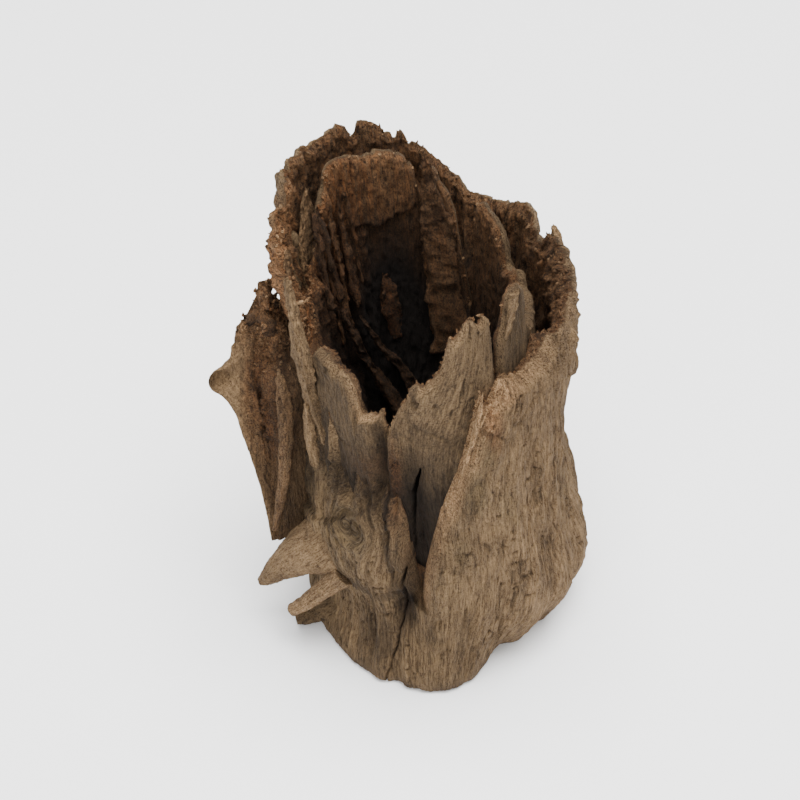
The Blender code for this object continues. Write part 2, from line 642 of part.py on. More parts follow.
def largest_body(stump):
    """Drops any scrap of skin that isn't joined to the stump."""
    work = bmesh.new()
    work.from_mesh(stump.data)
    unseen = set(work.verts)
    bodies = []
    while unseen:
        front = [unseen.pop()]
        body = list(front)
        while front:
            beside = {edge.other_vert(vert) for vert in front for edge in vert.link_edges} & unseen
            unseen -= beside
            front = list(beside)
            body += front
        bodies.append(body)
    bodies.sort(key=len)
    for scrap in bodies[:-1]:
        bmesh.ops.delete(work, geom=scrap, context="VERTS")
    work.to_mesh(stump.data)
    work.free()


def thinned(stump):
    """Fewer and larger faces where the skin is plain, more where it bends."""
    triangles = sum(len(face.vertices) - 2 for face in stump.data.polygons)
    decimate = stump.modifiers.new("thin_out", "DECIMATE")
    decimate.decimate_type = "COLLAPSE"
    decimate.ratio = FINAL_TRIANGLES / triangles
    decimate.use_collapse_triangulate = True
    apply_modifiers(stump)


def cut_foot(stump):
    """Cuts the foot flat at the floor and closes the cut."""
    work = bmesh.new()
    work.from_mesh(stump.data)
    cut = bmesh.ops.bisect_plane(
        work,
        geom=[*work.verts, *work.edges, *work.faces],
        plane_co=(0, 0, 0),
        plane_no=(0, 0, 1),
        clear_inner=True,
    )
    rim = [part for part in cut["geom_cut"] if isinstance(part, bmesh.types.BMEdge)]
    bmesh.ops.holes_fill(work, edges=rim, sides=0)
    bmesh.ops.triangulate(work, faces=[face for face in work.faces if len(face.verts) > 3])
    bmesh.ops.recalc_face_normals(work, faces=work.faces)
    work.to_mesh(stump.data)
    work.free()


def centred(stump):
    """Moves the mesh so that the middle of its footprint box is at the origin, with its foot at Z 0."""
    corners = np.array([vertex.co for vertex in stump.data.vertices])
    low, high = corners.min(0), corners.max(0)
    middle = (low + high) / 2
    for vertex in stump.data.vertices:
        vertex.co.x -= middle[0]
        vertex.co.y -= middle[1]
        vertex.co.z -= low[2]
    print("stump size in mm", np.round((high - low) / MM, 1), "moved by", np.round(-middle[:2] / MM, 2))


def wood_material():
    wood = bpy.data.materials.new("weathered_wood")
    wood.use_nodes = True
    shader = wood.node_tree.nodes["Principled BSDF"]
    shader.inputs["Base Color"].default_value = WOOD_COLOUR
    shader.inputs["Roughness"].default_value = WOOD_ROUGHNESS
    shader.inputs["Metallic"].default_value = 0.0
    return wood


def main():
    for old in list(bpy.data.objects):
        bpy.data.objects.remove(old)
    collection = bpy.data.collections.new("driftwood_stump")
    bpy.context.scene.collection.children.link(collection)
    stump = joined("driftwood_stump", rough_forms(collection), collection)
    fused(stump)
    largest_body(stump)
    weathered(stump)
    thinned(stump)
    cut_foot(stump)
    centred(stump)
    stump.data.materials.append(wood_material())


main()
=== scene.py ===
# The driftwood stump: its wood surfaces, worked out on grids, with procedural materials.
import math

import bpy
import numpy as np
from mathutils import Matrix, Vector


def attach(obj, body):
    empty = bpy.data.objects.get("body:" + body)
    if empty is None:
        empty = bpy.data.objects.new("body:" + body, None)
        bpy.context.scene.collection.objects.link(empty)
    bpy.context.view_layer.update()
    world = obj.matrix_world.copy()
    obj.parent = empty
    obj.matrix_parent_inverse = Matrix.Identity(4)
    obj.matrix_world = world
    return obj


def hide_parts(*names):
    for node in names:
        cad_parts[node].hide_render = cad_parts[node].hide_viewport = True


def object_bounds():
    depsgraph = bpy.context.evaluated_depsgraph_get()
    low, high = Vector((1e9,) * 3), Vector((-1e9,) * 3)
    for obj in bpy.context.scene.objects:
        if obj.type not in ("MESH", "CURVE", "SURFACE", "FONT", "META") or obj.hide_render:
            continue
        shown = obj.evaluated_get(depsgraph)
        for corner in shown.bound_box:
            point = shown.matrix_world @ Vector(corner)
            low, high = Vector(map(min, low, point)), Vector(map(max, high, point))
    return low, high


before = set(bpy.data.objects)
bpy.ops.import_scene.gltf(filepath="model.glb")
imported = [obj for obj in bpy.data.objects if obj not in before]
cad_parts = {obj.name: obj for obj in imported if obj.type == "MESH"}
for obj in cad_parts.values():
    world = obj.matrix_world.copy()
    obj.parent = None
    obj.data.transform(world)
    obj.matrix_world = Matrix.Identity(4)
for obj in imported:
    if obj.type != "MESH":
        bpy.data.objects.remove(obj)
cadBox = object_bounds()
print("frame loaded", [round(v * 1000, 1) for v in cadBox[1]])

# Shapes are laid out in mm, in plan angles (degrees, 0 right, 90 back, -90 front) round a leaning trunk line
mm = 0.001
trunk = dict(
    centre=(16.98, 0.39),  # where the trunk line meets the floor
    lean=-11.0 / 150.0,    # sideways shift for each unit of height
    radius=48.0,
    cavityFloor=57.0,
)

latticeSize = 64
lattice = np.random.default_rng(11).uniform(-1, 1, latticeSize**3).astype(np.float32)


def noise(points, seed=0):
    # Smooth noise from -1 to 1: a random value at each corner of a repeating lattice, eased in between
    place = points + np.array((17.31, 5.77, 29.13)) * (seed + 1)
    cell = np.floor(place).astype(np.int32)
    part = (place - cell).astype(np.float32)
    part = part * part * (3 - 2 * part)
    low = cell % latticeSize
    high = (low + 1) % latticeSize
    total = 0
    for i in (0, 1):
        x = (high if i else low)[..., 0] * latticeSize
        wx = part[..., 0] if i else 1 - part[..., 0]
        for j in (0, 1):
            xy = (x + (high if j else low)[..., 1]) * latticeSize
            wxy = wx * (part[..., 1] if j else 1 - part[..., 1])
            for k in (0, 1):
                w = wxy * (part[..., 2] if k else 1 - part[..., 2])
                total = total + w * lattice[xy + (high if k else low)[..., 2]]
    return total


def stretchedNoise(grain, across, along, seed):
    # Noise over grain coordinates with its own size across and along the fibres
    return noise(grain / np.array((across, across, along)), seed)


def layered(grain, across, along, seed, layers=3):
    # Noise in layers, each half the size and half the strength of the one before
    total, share = 0, 0
    for layer in range(layers):
        total = total + stretchedNoise(grain, across / 2**layer, along / 2**layer, seed + layer) / 2**layer
        share += 1 / 2**layer
    return total / share * 1.4


def furrows(value, width):
    # 1 along the lines where the noise crosses zero, falling to 0 at the given width
    return 1 - np.minimum(np.abs(value) / width, 1)


def eased01(value):
    # The value held between 0 and 1, leaving both ends softly: v * v * (3 - 2 * v)
    value = np.clip(value, 0, 1)
    return value * value * (3 - 2 * value)


def terraces(value, steps, slope=0.3):
    # A smooth value turned into flat steps with short slopes between them
    level = value * steps
    step = np.floor(level)
    return (step + eased01((level - step - 1 + slope) / slope)) / steps


def turned(angle, centre):
    # How far the angle lies from the centre, from -180 to 180 degrees
    return (angle - centre + 180) % 360 - 180


def hill(offset, half):
    # A soft hill: 1 in the middle, about 0.5 at the half-width, 0 from twice that outwards
    return 1 - eased01(np.abs(offset) / (2 * half))


def facing(angle, centre, half):
    # A hill round the trunk, about a plan angle and with a half-width in degrees
    return hill(turned(angle, centre), half)


def around(table, angle):
    # The table's value at a plan angle, in straight lines from row to row and right round
    points = np.array(table, float)
    return np.interp(angle, points[:, 0], points[:, 1], period=360)


def easedAround(table, angle):
    # The table's value with its corners rounded over a few degrees
    return sum(around(table, angle + step) for step in (-6, -3, 0, 3, 6)) / 5


def spots(rows, angle, height):
    # Sum of hills: plan angle, height, half-width in degrees, half-height, strength
    total = 0 * (angle + height)
    for centre, middle, halfWidth, halfHeight, strength in rows:
        total = total + strength * facing(angle, centre, halfWidth) * hill(height - middle, halfHeight)
    return total


def trunkPoint(angle, radius, height):
    # A point at this plan angle, radius and height from the leaning trunk line
    turn = np.radians(angle)
    x = trunk["centre"][0] + trunk["lean"] * height + radius * np.cos(turn)
    y = trunk["centre"][1] + radius * np.sin(turn)
    return np.stack(np.broadcast_arrays(x, y, height + 0 * x), -1)


# Grids into meshes

boxLow, boxHigh = (np.array(corner) / mm for corner in cadBox)
boxMargin = np.array((0.1, 0.1, 0.1))
pieces = []


def meshObject(name, points, faces, flatFaces, masks, grain):
    # A mesh from points [n, 3] in mm, kept inside the CAD box, with its masks as attributes
    low = boxLow + boxMargin * (1, 1, 0)
    points = np.clip(points, low, boxHigh - boxMargin)
    mesh = bpy.data.meshes.new(name)
    mesh.from_pydata((points * mm).tolist(), [], faces)
    smooth = np.ones(len(faces), bool)
    smooth[len(faces) - flatFaces:] = False
    mesh.polygons.foreach_set("use_smooth", smooth)
    for mask, values in masks.items():
        layer = mesh.attributes.new(mask, "FLOAT", "POINT")
        layer.data.foreach_set("value", np.clip(values, 0, 1).astype(np.float32).ravel())
    layer = mesh.attributes.new("grain", "FLOAT_VECTOR", "POINT")
    layer.data.foreach_set("vector", grain.astype(np.float32).ravel())
    mesh.update()
    piece = bpy.data.objects.new(name, mesh)
    bpy.context.scene.collection.objects.link(piece)
    pieces.append(piece)


def loopGrid(name, points, masks, grain, faceIn=False):
    # A closed solid from a grid [ring points, columns, 3]: rings close on themselves, end rings are capped
    ring, columns, _ = points.shape
    corner = np.arange(ring * columns).reshape(ring, columns)
    nextRing = np.roll(corner, -1, axis=0)
    quads = np.stack((corner[:, :-1], corner[:, 1:], nextRing[:, 1:], nextRing[:, :-1]), -1).reshape(-1, 4)
    caps = [corner[:, 0], corner[::-1, -1]]
    if faceIn:
        quads, caps = quads[:, ::-1], [cap[::-1] for cap in caps]
    flat = {key: np.broadcast_to(value, (ring, columns)).reshape(-1) for key, value in masks.items()}
    faces = quads.tolist() + [cap.tolist() for cap in caps]
    meshObject(name, points.reshape(-1, 3), faces, len(caps), flat, grain.reshape(-1, 3))


def surfaceNormals(points):
    # Normals of a grid [ring points, columns, 3] whose rings close, from the differences along both ways
    roundIt = np.roll(points, -1, axis=0) - np.roll(points, 1, axis=0)
    along = np.gradient(points, axis=1)
    normal = np.cross(along, roundIt)
    return normal / np.maximum(np.linalg.norm(normal, axis=-1, keepdims=True), 1e-9)


# The walls

wall = dict(
    heights=(-3, 0, 10, 28, 50, 80, 110, 150, 182),
    radii=(47.5, 49.0, 50.0, 49.5, 48.6, 47.0, 47.2, 47.4, 46.0),
    footRadii=(
        (-160, 53), (-145, 54.5), (-129, 56), (-112, 54.5), (-100, 53.5), (-91, 52), (-80, 46), (-72, 41),
        (-60, 37.5), (-50, 36.5), (-37, 36.5), (-25, 37), (-13, 39), (-4, 43), (4, 47), (15, 51), (35, 52),
        (60, 49), (90, 51), (120, 49.5), (150, 53), (175, 51),
    ),
    footMean=49,
    footFade=17.0,
    footRound=(5.0, 2.4),   # height and depth of the rounding where the foot meets the floor
    toes=(
        (-96, 13, 2.2), (-66, 7, -2.6), (-54, 8, 2.0), (-43, 5, -4.0), (-31, 8, 2.4), (-21, 4, -3.6),
        (-11, 7, 2.4), (1, 5, -2.8), (18, 10, 2.2), (34, 6, -3.4), (52, 11, 3.4), (72, 7, -4.6),
        (92, 12, 2.6), (112, 7, -4.2), (134, 13, 3.6), (156, 6, -4.0), (176, 12, 3.2), (200, 10, 2.6),
        (224, 12, 1.6), (244, 8, 1.4),
    ),
    toeFade=34.0,
    forms=(
        (-130, 60, 32, 24, 4.6), (-142, 98, 42, 9, -1.2), (-122, 100, 9, 12, -1.4),
        (-110.5, 37, 4.2, 7, -3.0), (-150, 22, 16, 16, -2.4), (2, 82, 36, 30, -4.4),
        (-14, 122, 12, 26, 1.6), (12, 44, 16, 24, 1.2), (150, 162, 24, 46, 6.0), (112, 172, 20, 36, 2.6),
        (176, 150, 9, 16, 3.6), (60, 90, 20, 34, -3.0), (104, 110, 13, 54, 2.2), (128, 66, 12, 46, -4.0),
        (148, 44, 14, 28, 2.6), (34, 60, 7, 40, -3.0), (82, 40, 9, 34, 2.6), (-154, 98, 2.4, 17, 2.4),
        (-141, 102, 2.6, 14, 2.0), (-147.5, 98, 1.8, 14, -1.4), (-133, 100, 2.4, 7, -3.4),
        (-122.5, 104, 1.8, 3.4, -2.4), (-132, 85, 1.6, 4, -1.4), (-118, 97, 1.4, 6, -1.2),
        (-95, 35, 1.6, 2.0, -1.8), (-70, 78, 2.0, 2.0, -0.9), (-108.5, 74, 1.4, 4, -3.0),
    ),
    clefts=(
        (-103.5, 84, 5.0, 30, 3.6), (-109, 42, 5.5, 15, 5.0), (-113, 14, 2.6, 22, 2.4),
        (-117, 108, 2.4, 16, 5.0), (72, 120, 2.4, 40, 4.0), (158, 92, 2.2, 46, 4.0),
        (-46, 88, 1.6, 26, 1.2), (20, 100, 2.0, 30, 2.6),
    ),
    slitHeights=(0, 12, 24, 33, 40, 44, 50, 56, 63, 74, 82, 88, 93, 98, 102),
    slitAngles=(
        -118, -115.5, -113, -111.5, -110.5, -110, -110.3, -108.5, -106, -105.4, -105, -104.6, -103, -100.8,
        -100,
    ),
    slitHalves=(0.4, 0.4, 0.4, 0.4, 0.5, 0.5, 0.5, 0.5, 0.6, 0.6, 0.8, 1.1, 1.0, 0.6, 0.3),
    slitDepths=(2, 3, 4, 7, 9, 9, 8, 8, 9, 10, 12, 12, 11, 7, 0),
    slitWander=(0.35, 3.0),  # degrees, and mm of height for each wave
    slitShade=(6, 0.9),      # depth that is fully dark, and the most of it
    layerTop=((-165, 56), (-146, 66), (-136, 74), (-128, 80), (-121, 86), (-115, 91), (-112, 91)),
    layerEdge=-113.4,
    layerLow=(34.0, 52.0),
    layerDepth=1.8,
    reliefGain=1.3,
    footCalm=(0.4, 0.6, 16),   # share of the relief at the floor, what it gains, and over which height
    knots=((-129, 74, 6.5, 1.3), (-3, 117, 4.6, 1.8), (96, 74, 7.0, 2.0)),
    rim=(
        (-104, 40), (-101, 56), (-97, 70), (-92, 85), (-84, 101), (-78, 113), (-74, 124), (-71, 133),
        (-69, 138), (-67.6, 131), (-65, 133), (-60, 139), (-48, 139), (-40, 141), (-30, 147), (-20, 151),
        (-10, 154), (0, 156), (9, 157), (16, 157), (24, 154), (29, 152), (31, 146), (34, 152), (41, 157),
        (52, 155), (59, 152), (68, 154), (75, 158), (80, 161), (88, 168), (94, 170), (100, 176), (106, 176),
        (112, 181), (118, 182), (121, 177), (123, 182), (132, 182), (140, 181), (147, 182), (154, 181),
        (160, 178), (164, 178), (168, 171), (172, 166), (176, 158), (180, 150), (183, 138), (187, 112),
        (190, 98), (196, 98), (202.5, 99), (204.5, 110), (206, 114), (208, 109), (210, 99), (214, 99),
        (217, 103), (219, 117), (221.5, 112), (224, 101), (232, 99), (240, 96), (250, 90), (252, 80),
        (254, 54), (256, 40),
    ),
    raggedness=(
        (-104, 0.15), (-96, 0.2), (-86, 0.35), (-60, 0.45), (-30, 0.3), (0, 0.35), (20, 0.6), (28, 1.0),
        (36, 0.7), (50, 0.4), (72, 0.4), (85, 0.8), (100, 1.0), (150, 1.1), (168, 1.5), (188, 1.3),
        (200, 0.8), (250, 0.7),
    ),
    gapFloor=(
        (-104, 170), (-42, 170), (-34, 150), (-28, 142), (-20, 120), (-8, 102), (10, 96), (35, 98),
        (55, 108), (70, 128), (82, 146), (100, 156), (125, 156), (145, 150), (160, 132), (175, 116),
        (185, 140), (195, 170), (256, 170),
    ),
    thicknessHeights=(90, 140, 180),
    thicknesses=(7.2, 6.0, 4.6),
    leastThickness=3.0,
    thickRight=(5, 26),      # plan angle and half-width of the thicker right side
    thickMore=(2.2, 110, 30),  # mm more, from this height, over this height
    gapOpening=7.0,          # height over which the gap opens above its floor
    overlap=2.6,
    block=50.0,            # height below which the walls are solid to the middle
    clearance=12.0,        # how far below its visible foot a wall keeps its close rows
)

innerWall = dict(
    radii=(
        (-115.5, 42), (-100, 41.6), (-80, 40.5), (-58, 39.5), (-40, 38), (-25, 35.5), (-8, 33), (15, 32.5),
        (35, 33.5), (60, 35), (90, 37), (120, 39.5), (150, 41), (172, 42.5), (184, 44), (205, 44.5),
        (220, 45), (234, 45), (240, 44.5), (244.2, 43.5),
    ),
    low=22.0,
    flareHeights=(50, 100, 180),
    flares=(1.5, 0.5, 0.0),
    thicknessHeights=(50, 70, 110, 150, 178),
    thicknesses=(15, 10.5, 8.0, 6.0, 4.2),
    rim=(
        (-115.5, 112), (-112, 121), (-108, 128), (-104, 132), (-102, 137), (-98, 139), (-95, 139),
        (-91, 142), (-87, 146), (-84, 152), (-82, 158), (-78, 159), (-74, 163), (-70, 164), (-66, 161),
        (-63, 164), (-60.5, 162), (-59.5, 128), (-57.8, 130), (-57, 150), (-54, 156), (-51.5, 163),
        (-50, 168), (-46, 170), (-41, 169), (-37.5, 167), (-36, 152), (-31, 147), (-24, 144), (-8, 141),
        (4, 142), (14, 142), (19, 146), (24, 143), (30, 141), (35, 140), (37, 149), (41.5, 156), (48, 157),
        (55, 161), (60, 158), (62, 146), (64, 124), (66, 114), (68, 118), (71, 140), (75, 152), (80, 162),
        (85, 168), (90, 169), (91.5, 148), (95, 146), (96.5, 168), (100, 172), (108, 176), (117, 178),
        (124, 176), (130, 178), (140, 180), (144, 179), (147, 177), (149, 171), (153, 168), (156, 166),
        (158, 160), (160, 154), (167, 150), (170, 146), (178, 141), (182, 134), (188, 123), (194, 115),
        (200, 109), (205.5, 110), (206.5, 134), (209, 139), (213, 141), (218, 141), (223, 139.5),
        (228, 138), (231, 136), (233.2, 133), (234.2, 122), (238, 124), (241, 122), (243.6, 126),
        (244.2, 112),
    ),
    raggedness=(
        (-115, 0.9), (-90, 1.2), (-60, 0.8), (-45, 0.8), (-30, 0.5), (0, 0.5), (30, 0.8), (60, 1.0),
        (90, 0.7), (120, 0.7), (145, 1.0), (165, 1.2), (200, 0.8), (212, 0.6), (235, 1.0), (243, 1.2),
    ),
    ledge=(151.0, 2.2),      # height and depth of the worn ledge on the hollow's back
    ledgeSide=(117, 16),     # its plan angle and half-width
    leftInside=(158, 26),    # plan angle and half-width of the deeply grooved left inside
    grooveGain=(0.55, 0.75),  # share of the relief inside, and more on the left
)

grainShape = dict(
    wander=7.0,          # degrees
    wanderSize=40.0,
    twist=0.05,          # degrees for each mm of height
    swell=(26.0, 62.0, 1.1),
    furrows=((11.0, 55.0, 1.3, 3), (5.2, 36.0, 0.9, 8), (2.6, 22.0, 0.5, 15), (1.4, 12.0, 0.32, 21)),
    furrowWidth=0.3,
    furrowDark=0.75,       # painted shade in the bottoms of the furrows: how dark it is
    layers=(4.6, 30.0, 1.1, 3.0),
    fibres=(1.0, 8.0, 0.3),
    chips=(1.9, 4.5, 0.34),
    pores=(1.2, 4.2, 0.7),
    poreClusters=(10.0, 16.0),
    poreOpen=(0.68, 0.35, 0.22, 0.16),  # noise where pores open, less in clusters and on rough wood, softness
    cracks=(7.0, 44.0, 0.9),
    crackWidth=0.05,
    crackPlaces=(14.0, 30.0),
    lineBreaks=(5.0, 9.0),   # size of the gaps in the dark lines
    nicks=(3.0, 1.1, 0.5),
    nickOpen=(0.6, 0.12),    # noise where nicks open, softness
    nickDark=0.85,
    crumble=(2.4, 4.5, 0.9),
    crumblePits=(2.6, 5.0, 0.5, 0.25),  # across, along, depth, width
)

# Where the wood is rotten, where it is rough, where it is stained and darkened with painted shade, where it
# is deeply grooved, and where it has weathered grey
rotSpots = (
    (174, 150, 9, 22, 1.0), (184, 128, 6, 14, 0.8), (-111, 96, 2.4, 14, 0.8), (-122, 100, 8, 6, 0.35),
    (-67, 124, 3, 8, 0.6), (-60, 134, 5, 3, 0.2), (-101, 66, 2.0, 16, 0.4),
)
roughSpots = (
    (-136, 92, 16, 9, 1.0), (-112, 90, 5, 16, 0.9), (174, 150, 12, 30, 1.0), (-20, 136, 30, 9, 0.5),
    (-70, 100, 12, 20, 0.3), (10, 150, 40, 10, 0.6), (140, 176, 60, 8, 0.5), (-90, 60, 10, 20, 0.25),
)
# Dark patches: partly stained wood, partly painted shade in hollows, under overhangs and at the foot
stainAndShadeSpots = (
    (-122, 18, 9, 12, 0.66), (-136, 92, 16, 9, 0.52), (-119, 90, 6, 11, 0.5), (-129, 74, 6, 5, 0.3),
    (-110.5, 64, 4, 26, 0.3), (-110.5, 37, 3.6, 7, 0.5), (-112, 43.5, 1.1, 1.6, 0.6),
    (-108, 40.5, 1.1, 1.6, 0.6), (191, 92, 8, 44, 0.85), (-133, 100, 2.2, 7, 0.85),
    (-122.5, 104, 1.6, 3, 0.8), (-113.6, 72, 0.8, 22, 0.5), (-152, 84, 10, 26, 0.32), (-96, 69, 3, 12, 0.3),
    (-80, 88, 2.5, 14, 0.24), (-61, 40, 3, 12, 0.2), (-44, 66, 4, 30, 0.2), (2, 102, 9, 30, 0.24),
    (16, 40, 8, 20, 0.25), (-100, 28, 7, 9, 0.25), (-86, 24, 4, 18, 0.2), (-30, 128, 8, 12, 0.2),
    (-68, 66, 2, 16, 0.2), (110, 60, 14, 50, 0.2), (60, 90, 8, 60, 0.2),
)
groovedSpots = (
    (-142, 98, 20, 20, 1.0), (-115, 70, 8, 30, 0.7), (-128, 30, 14, 20, 0.4), (-90, 60, 8, 30, 0.3),
    (60, 80, 60, 60, 0.5), (130, 90, 60, 80, 0.6),
)
greySpots = (
    (-76, 96, 4, 7, 1.0), (-70, 114, 3, 6, 0.8), (-62, 84, 4, 8, 0.5), (-84, 70, 3, 6, 0.5),
    (-129, 74, 7, 7, 0.9), (-20, 70, 10, 14, 0.4), (-135, 55, 10, 20, 0.3),
)


def grainCoordinates(angle, height, turnedBy=0.0):
    # Where a point of the trunk's skin lies in the grain: it wanders sideways, leans with the front wall
    # and parts round the knots
    turn = np.radians(angle + turnedBy)
    base = np.stack(np.broadcast_arrays(
        trunk["radius"] * np.cos(turn), trunk["radius"] * np.sin(turn), height + 0 * turn), -1)
    size = np.array((1, 1, 1.5)) * grainShape["wanderSize"]
    wander = grainShape["wander"] * noise(base / size, 1) + grainShape["twist"] * height
    lean = -0.22 * (height - 80) * facing(angle, -72, 22)
    parting = 0
    for centre, middle, radius, _ in wall["knots"]:
        across = turned(angle, centre) * math.pi / 180 * trunk["radius"]
        distance = np.hypot(across, height - middle) + 0.5
        parting = parting - across / distance * radius * np.exp(-((distance / (2.2 * radius)) ** 2))
    wander = wander + np.degrees(parting / trunk["radius"])
    place = np.radians(angle + turnedBy + wander + lean)
    x, y = trunk["radius"] * np.cos(place), trunk["radius"] * np.sin(place)
    return np.stack((x, y, height + 0 * place), -1)


def weathering(grain, rough, grooved):
    # Relief of the worn skin in mm, and a mask of the dark in its pits, cracks, nicks and furrow bottoms,
    # partly
    # its own colour and partly painted shade: broad swells, furrows in four sizes, torn layers, fine fibres,
    # chips, clustered pores, long checks, short nicks and crumbled rot
    across, along, depth = grainShape["swell"]
    relief = depth * stretchedNoise(grain, across, along, 2)
    lines = 0
    for across, along, depth, seed in grainShape["furrows"]:
        share = grooved if across > 2 else 0.5 + 0.5 * grooved
        furrow = furrows(stretchedNoise(grain, across, along, seed), grainShape["furrowWidth"])
        relief = relief - share * depth * furrow
        lines = np.maximum(lines, share * grainShape["furrowDark"] * furrow**3)
    across, along, depth, steps = grainShape["layers"]
    relief = relief + depth * (0.3 + 0.7 * grooved) * terraces(layered(grain, across, along, 25, 2), steps)
    across, along, depth = grainShape["fibres"]
    relief = relief + depth * layered(grain, across, along, 31, 2)
    across, along, depth = grainShape["chips"]
    relief = relief + depth * (0.5 + rough) * layered(grain, across, along, 35, 2)
    across, along, depth = grainShape["pores"]
    cluster = stretchedNoise(grain, *grainShape["poreClusters"], 43)
    level, inCluster, onRough, soft = grainShape["poreOpen"]
    pores = stretchedNoise(grain, across, along, 41) - level + inCluster * cluster + onRough * rough
    pores = eased01(pores / soft)
    across, along, crackDepth = grainShape["cracks"]
    cracks = furrows(stretchedNoise(grain, across, along, 51), grainShape["crackWidth"])
    where = stretchedNoise(grain, *grainShape["crackPlaces"], 52)
    cracks = cracks * eased01(where * 2 - 0.1 + rough) * (0.25 + 0.75 * grooved)
    broken = eased01(0.5 + 1.4 * stretchedNoise(grain, *grainShape["lineBreaks"], 53))
    dark = np.maximum(np.maximum(pores * (0.6 + 0.4 * rough), cracks), lines * broken)
    across, along, nickDepth = grainShape["nicks"]
    level, soft = grainShape["nickOpen"]
    nicks = eased01((stretchedNoise(grain, across, along, 45) - level) / soft) * eased01(0.3 + 1.5 * cluster)
    dark = np.maximum(dark, grainShape["nickDark"] * nicks)
    across, along, lump = grainShape["crumble"]
    crumble = (lump + lump * rough) * layered(grain, across, along, 61, 3)
    across, along, pitDepth, width = grainShape["crumblePits"]
    crumble = rough * (crumble - pitDepth * furrows(stretchedNoise(grain, across, along, 64), width))
    return relief - nickDepth * nicks - depth * pores * (0.6 + rough) - crackDepth * cracks + crumble, dark


def slit(angle, height):
    # The narrow black crack down the front: its depth in mm, full near a line that wanders and 0 from just
    # over its half-width outwards
    centre = np.interp(height, wall["slitHeights"], wall["slitAngles"])
    half = np.interp(height, wall["slitHeights"], wall["slitHalves"])
    sway, wave = wall["slitWander"]
    place = np.stack(np.broadcast_arrays(height / wave, 0 * height, 0 * height), -1)
    centre = centre + sway * noise(place, 7)
    share = np.abs(turned(angle, centre)) / half
    return np.interp(height, wall["slitHeights"], wall["slitDepths"]) * (1 - eased01((share - 0.35) / 0.9))


def clefts(angle, height):
    # Depth of all the clefts in mm: the soft ones and the slit together
    return spots(wall["clefts"], angle, height) + slit(angle, height)


def cleftDark(cleft):
    # Painted shade in a cleft: 0 where it is shallow, 1 where it is deep: a quarter of its depth less 0.3
    return np.clip(cleft / 4 - 0.3, 0, 1)


def layerEdge(angle, height):
    # 1 on the smooth layer over the lump below the knot, 0 beyond its broken top and right edges
    place = np.stack(np.broadcast_arrays(angle / 2.2, height / 2.6, 0 * height + 0 * angle), -1)
    ragged = noise(place, 57) + 0.5 * noise(place * 2.3, 58)
    turn = turned(angle, 0)
    below = eased01((np.interp(turn, *np.array(wall["layerTop"]).T) + 1.6 * ragged - height) / 1.4)
    left = eased01((wall["layerEdge"] + 0.7 * ragged - turn) / 0.9)
    low, high = wall["layerLow"]
    return below * left * eased01((height - low) / (high - low)) * (turn > -170)


def knotRelief(angle, height):
    # Round knots: a raised ring about a sunken middle
    change, middleMask = 0, 0
    for centre, middle, radius, relief in wall["knots"]:
        across = np.radians(turned(angle, centre)) * trunk["radius"]
        distance = np.hypot(across, (height - middle) * 0.8) / radius
        ring = np.exp(-((distance - 1) ** 2) / 0.08)
        change = change + relief * (ring - 0.9 * np.exp(-(distance**2) / 0.2))
        middleMask = middleMask + np.exp(-(distance**2) / 0.5)
    return change, middleMask


def outerFace(angle, height):
    # Outside of the outer wall: mean radius, foot, toes, swellings, knots, clefts and weathering
    radius = np.interp(height, wall["heights"], wall["radii"])
    foot = np.exp(-((np.clip(height, 0, None) / wall["footFade"]) ** 2))
    radius = radius + foot * (easedAround(wall["footRadii"], angle) - wall["footMean"])
    fade = np.exp(-np.clip(height, 0, None) / wall["toeFade"])
    for centre, half, swell in wall["toes"]:
        radius = radius + swell * fade * facing(angle, centre, half)
    rise, inset = wall["footRound"]
    under = np.clip(1 - height / rise, 0, 1)
    radius = radius - inset * (1 - np.sqrt(1 - 0.96 * under**2))
    radius = radius + spots(wall["forms"], angle, height)
    grain = grainCoordinates(angle, height)
    rough = np.clip(spots(roughSpots, angle, height), 0, 1)
    grooved = np.clip(0.42 + spots(groovedSpots, angle, height), 0, 1)
    relief, dark = weathering(grain, rough, grooved)
    layer = layerEdge(angle, height)
    calm, gain, calmHeight = wall["footCalm"]
    relief = wall["reliefGain"] * relief + wall["layerDepth"] * layer
    relief = relief * (calm + gain * eased01(height / calmHeight))
    cleft = clefts(angle, height)
    knot, knotMask = knotRelief(angle, height)
    dark = np.maximum(dark, cleftDark(cleft))
    dark = np.maximum(dark, 3.2 * layer * (1 - layer) * (height > 40))  # painted shadow along the layer's broken edge
    dark = np.maximum(dark, 0.45 * np.clip(knotMask, 0, 1))
    return radius + knot - cleft + relief, grain, dark, rough


def innerFace(angle, height):
    # Outside of the inner wall: its radii and a flare towards the foot, less clefts, with weathering
    flare = np.interp(height, innerWall["flareHeights"], innerWall["flares"])
    grain = grainCoordinates(angle, height, 23.0)
    rough = np.clip(0.2 + spots(rotSpots, angle, height), 0, 1)
    grooved = 0.25 + 0.6 * facing(angle, 180, 26)
    relief, dark = weathering(grain, rough, grooved)
    cleft = clefts(angle, height)
    dark = np.maximum(dark, cleftDark(cleft))
    return easedAround(innerWall["radii"], angle) + flare - cleft + 0.9 * relief, grain, dark, rough


def cavityFace(angle, height):
    # Inside of the inner wall: the mean outside less a thickness that grows downwards, with a worn ledge
    # at the back
    thickness = np.interp(height, innerWall["thicknessHeights"], innerWall["thicknesses"])
    grain = grainCoordinates(angle, height, 71.0)
    rough = 0.5 + 0.5 * hill(height - 80, 30) + 0 * angle
    left = facing(angle, *innerWall["leftInside"])
    relief, dark = weathering(grain, rough, 0.25 + 1.0 * left)
    least, more = innerWall["grooveGain"]
    relief = relief * (least + more * left) + 0.35 * noise(grain / 1.4, 76)
    middle, depth = innerWall["ledge"]
    edge = middle + 3.0 * noise(grain / 9.0, 71) + 1.2 * noise(grain / 3.0, 72)
    ledge = depth * eased01((height - edge) / 1.4) * facing(angle, *innerWall["ledgeSide"])
    radius = easedAround(innerWall["radii"], angle) - thickness - ledge - relief
    return radius, grain, dark, rough


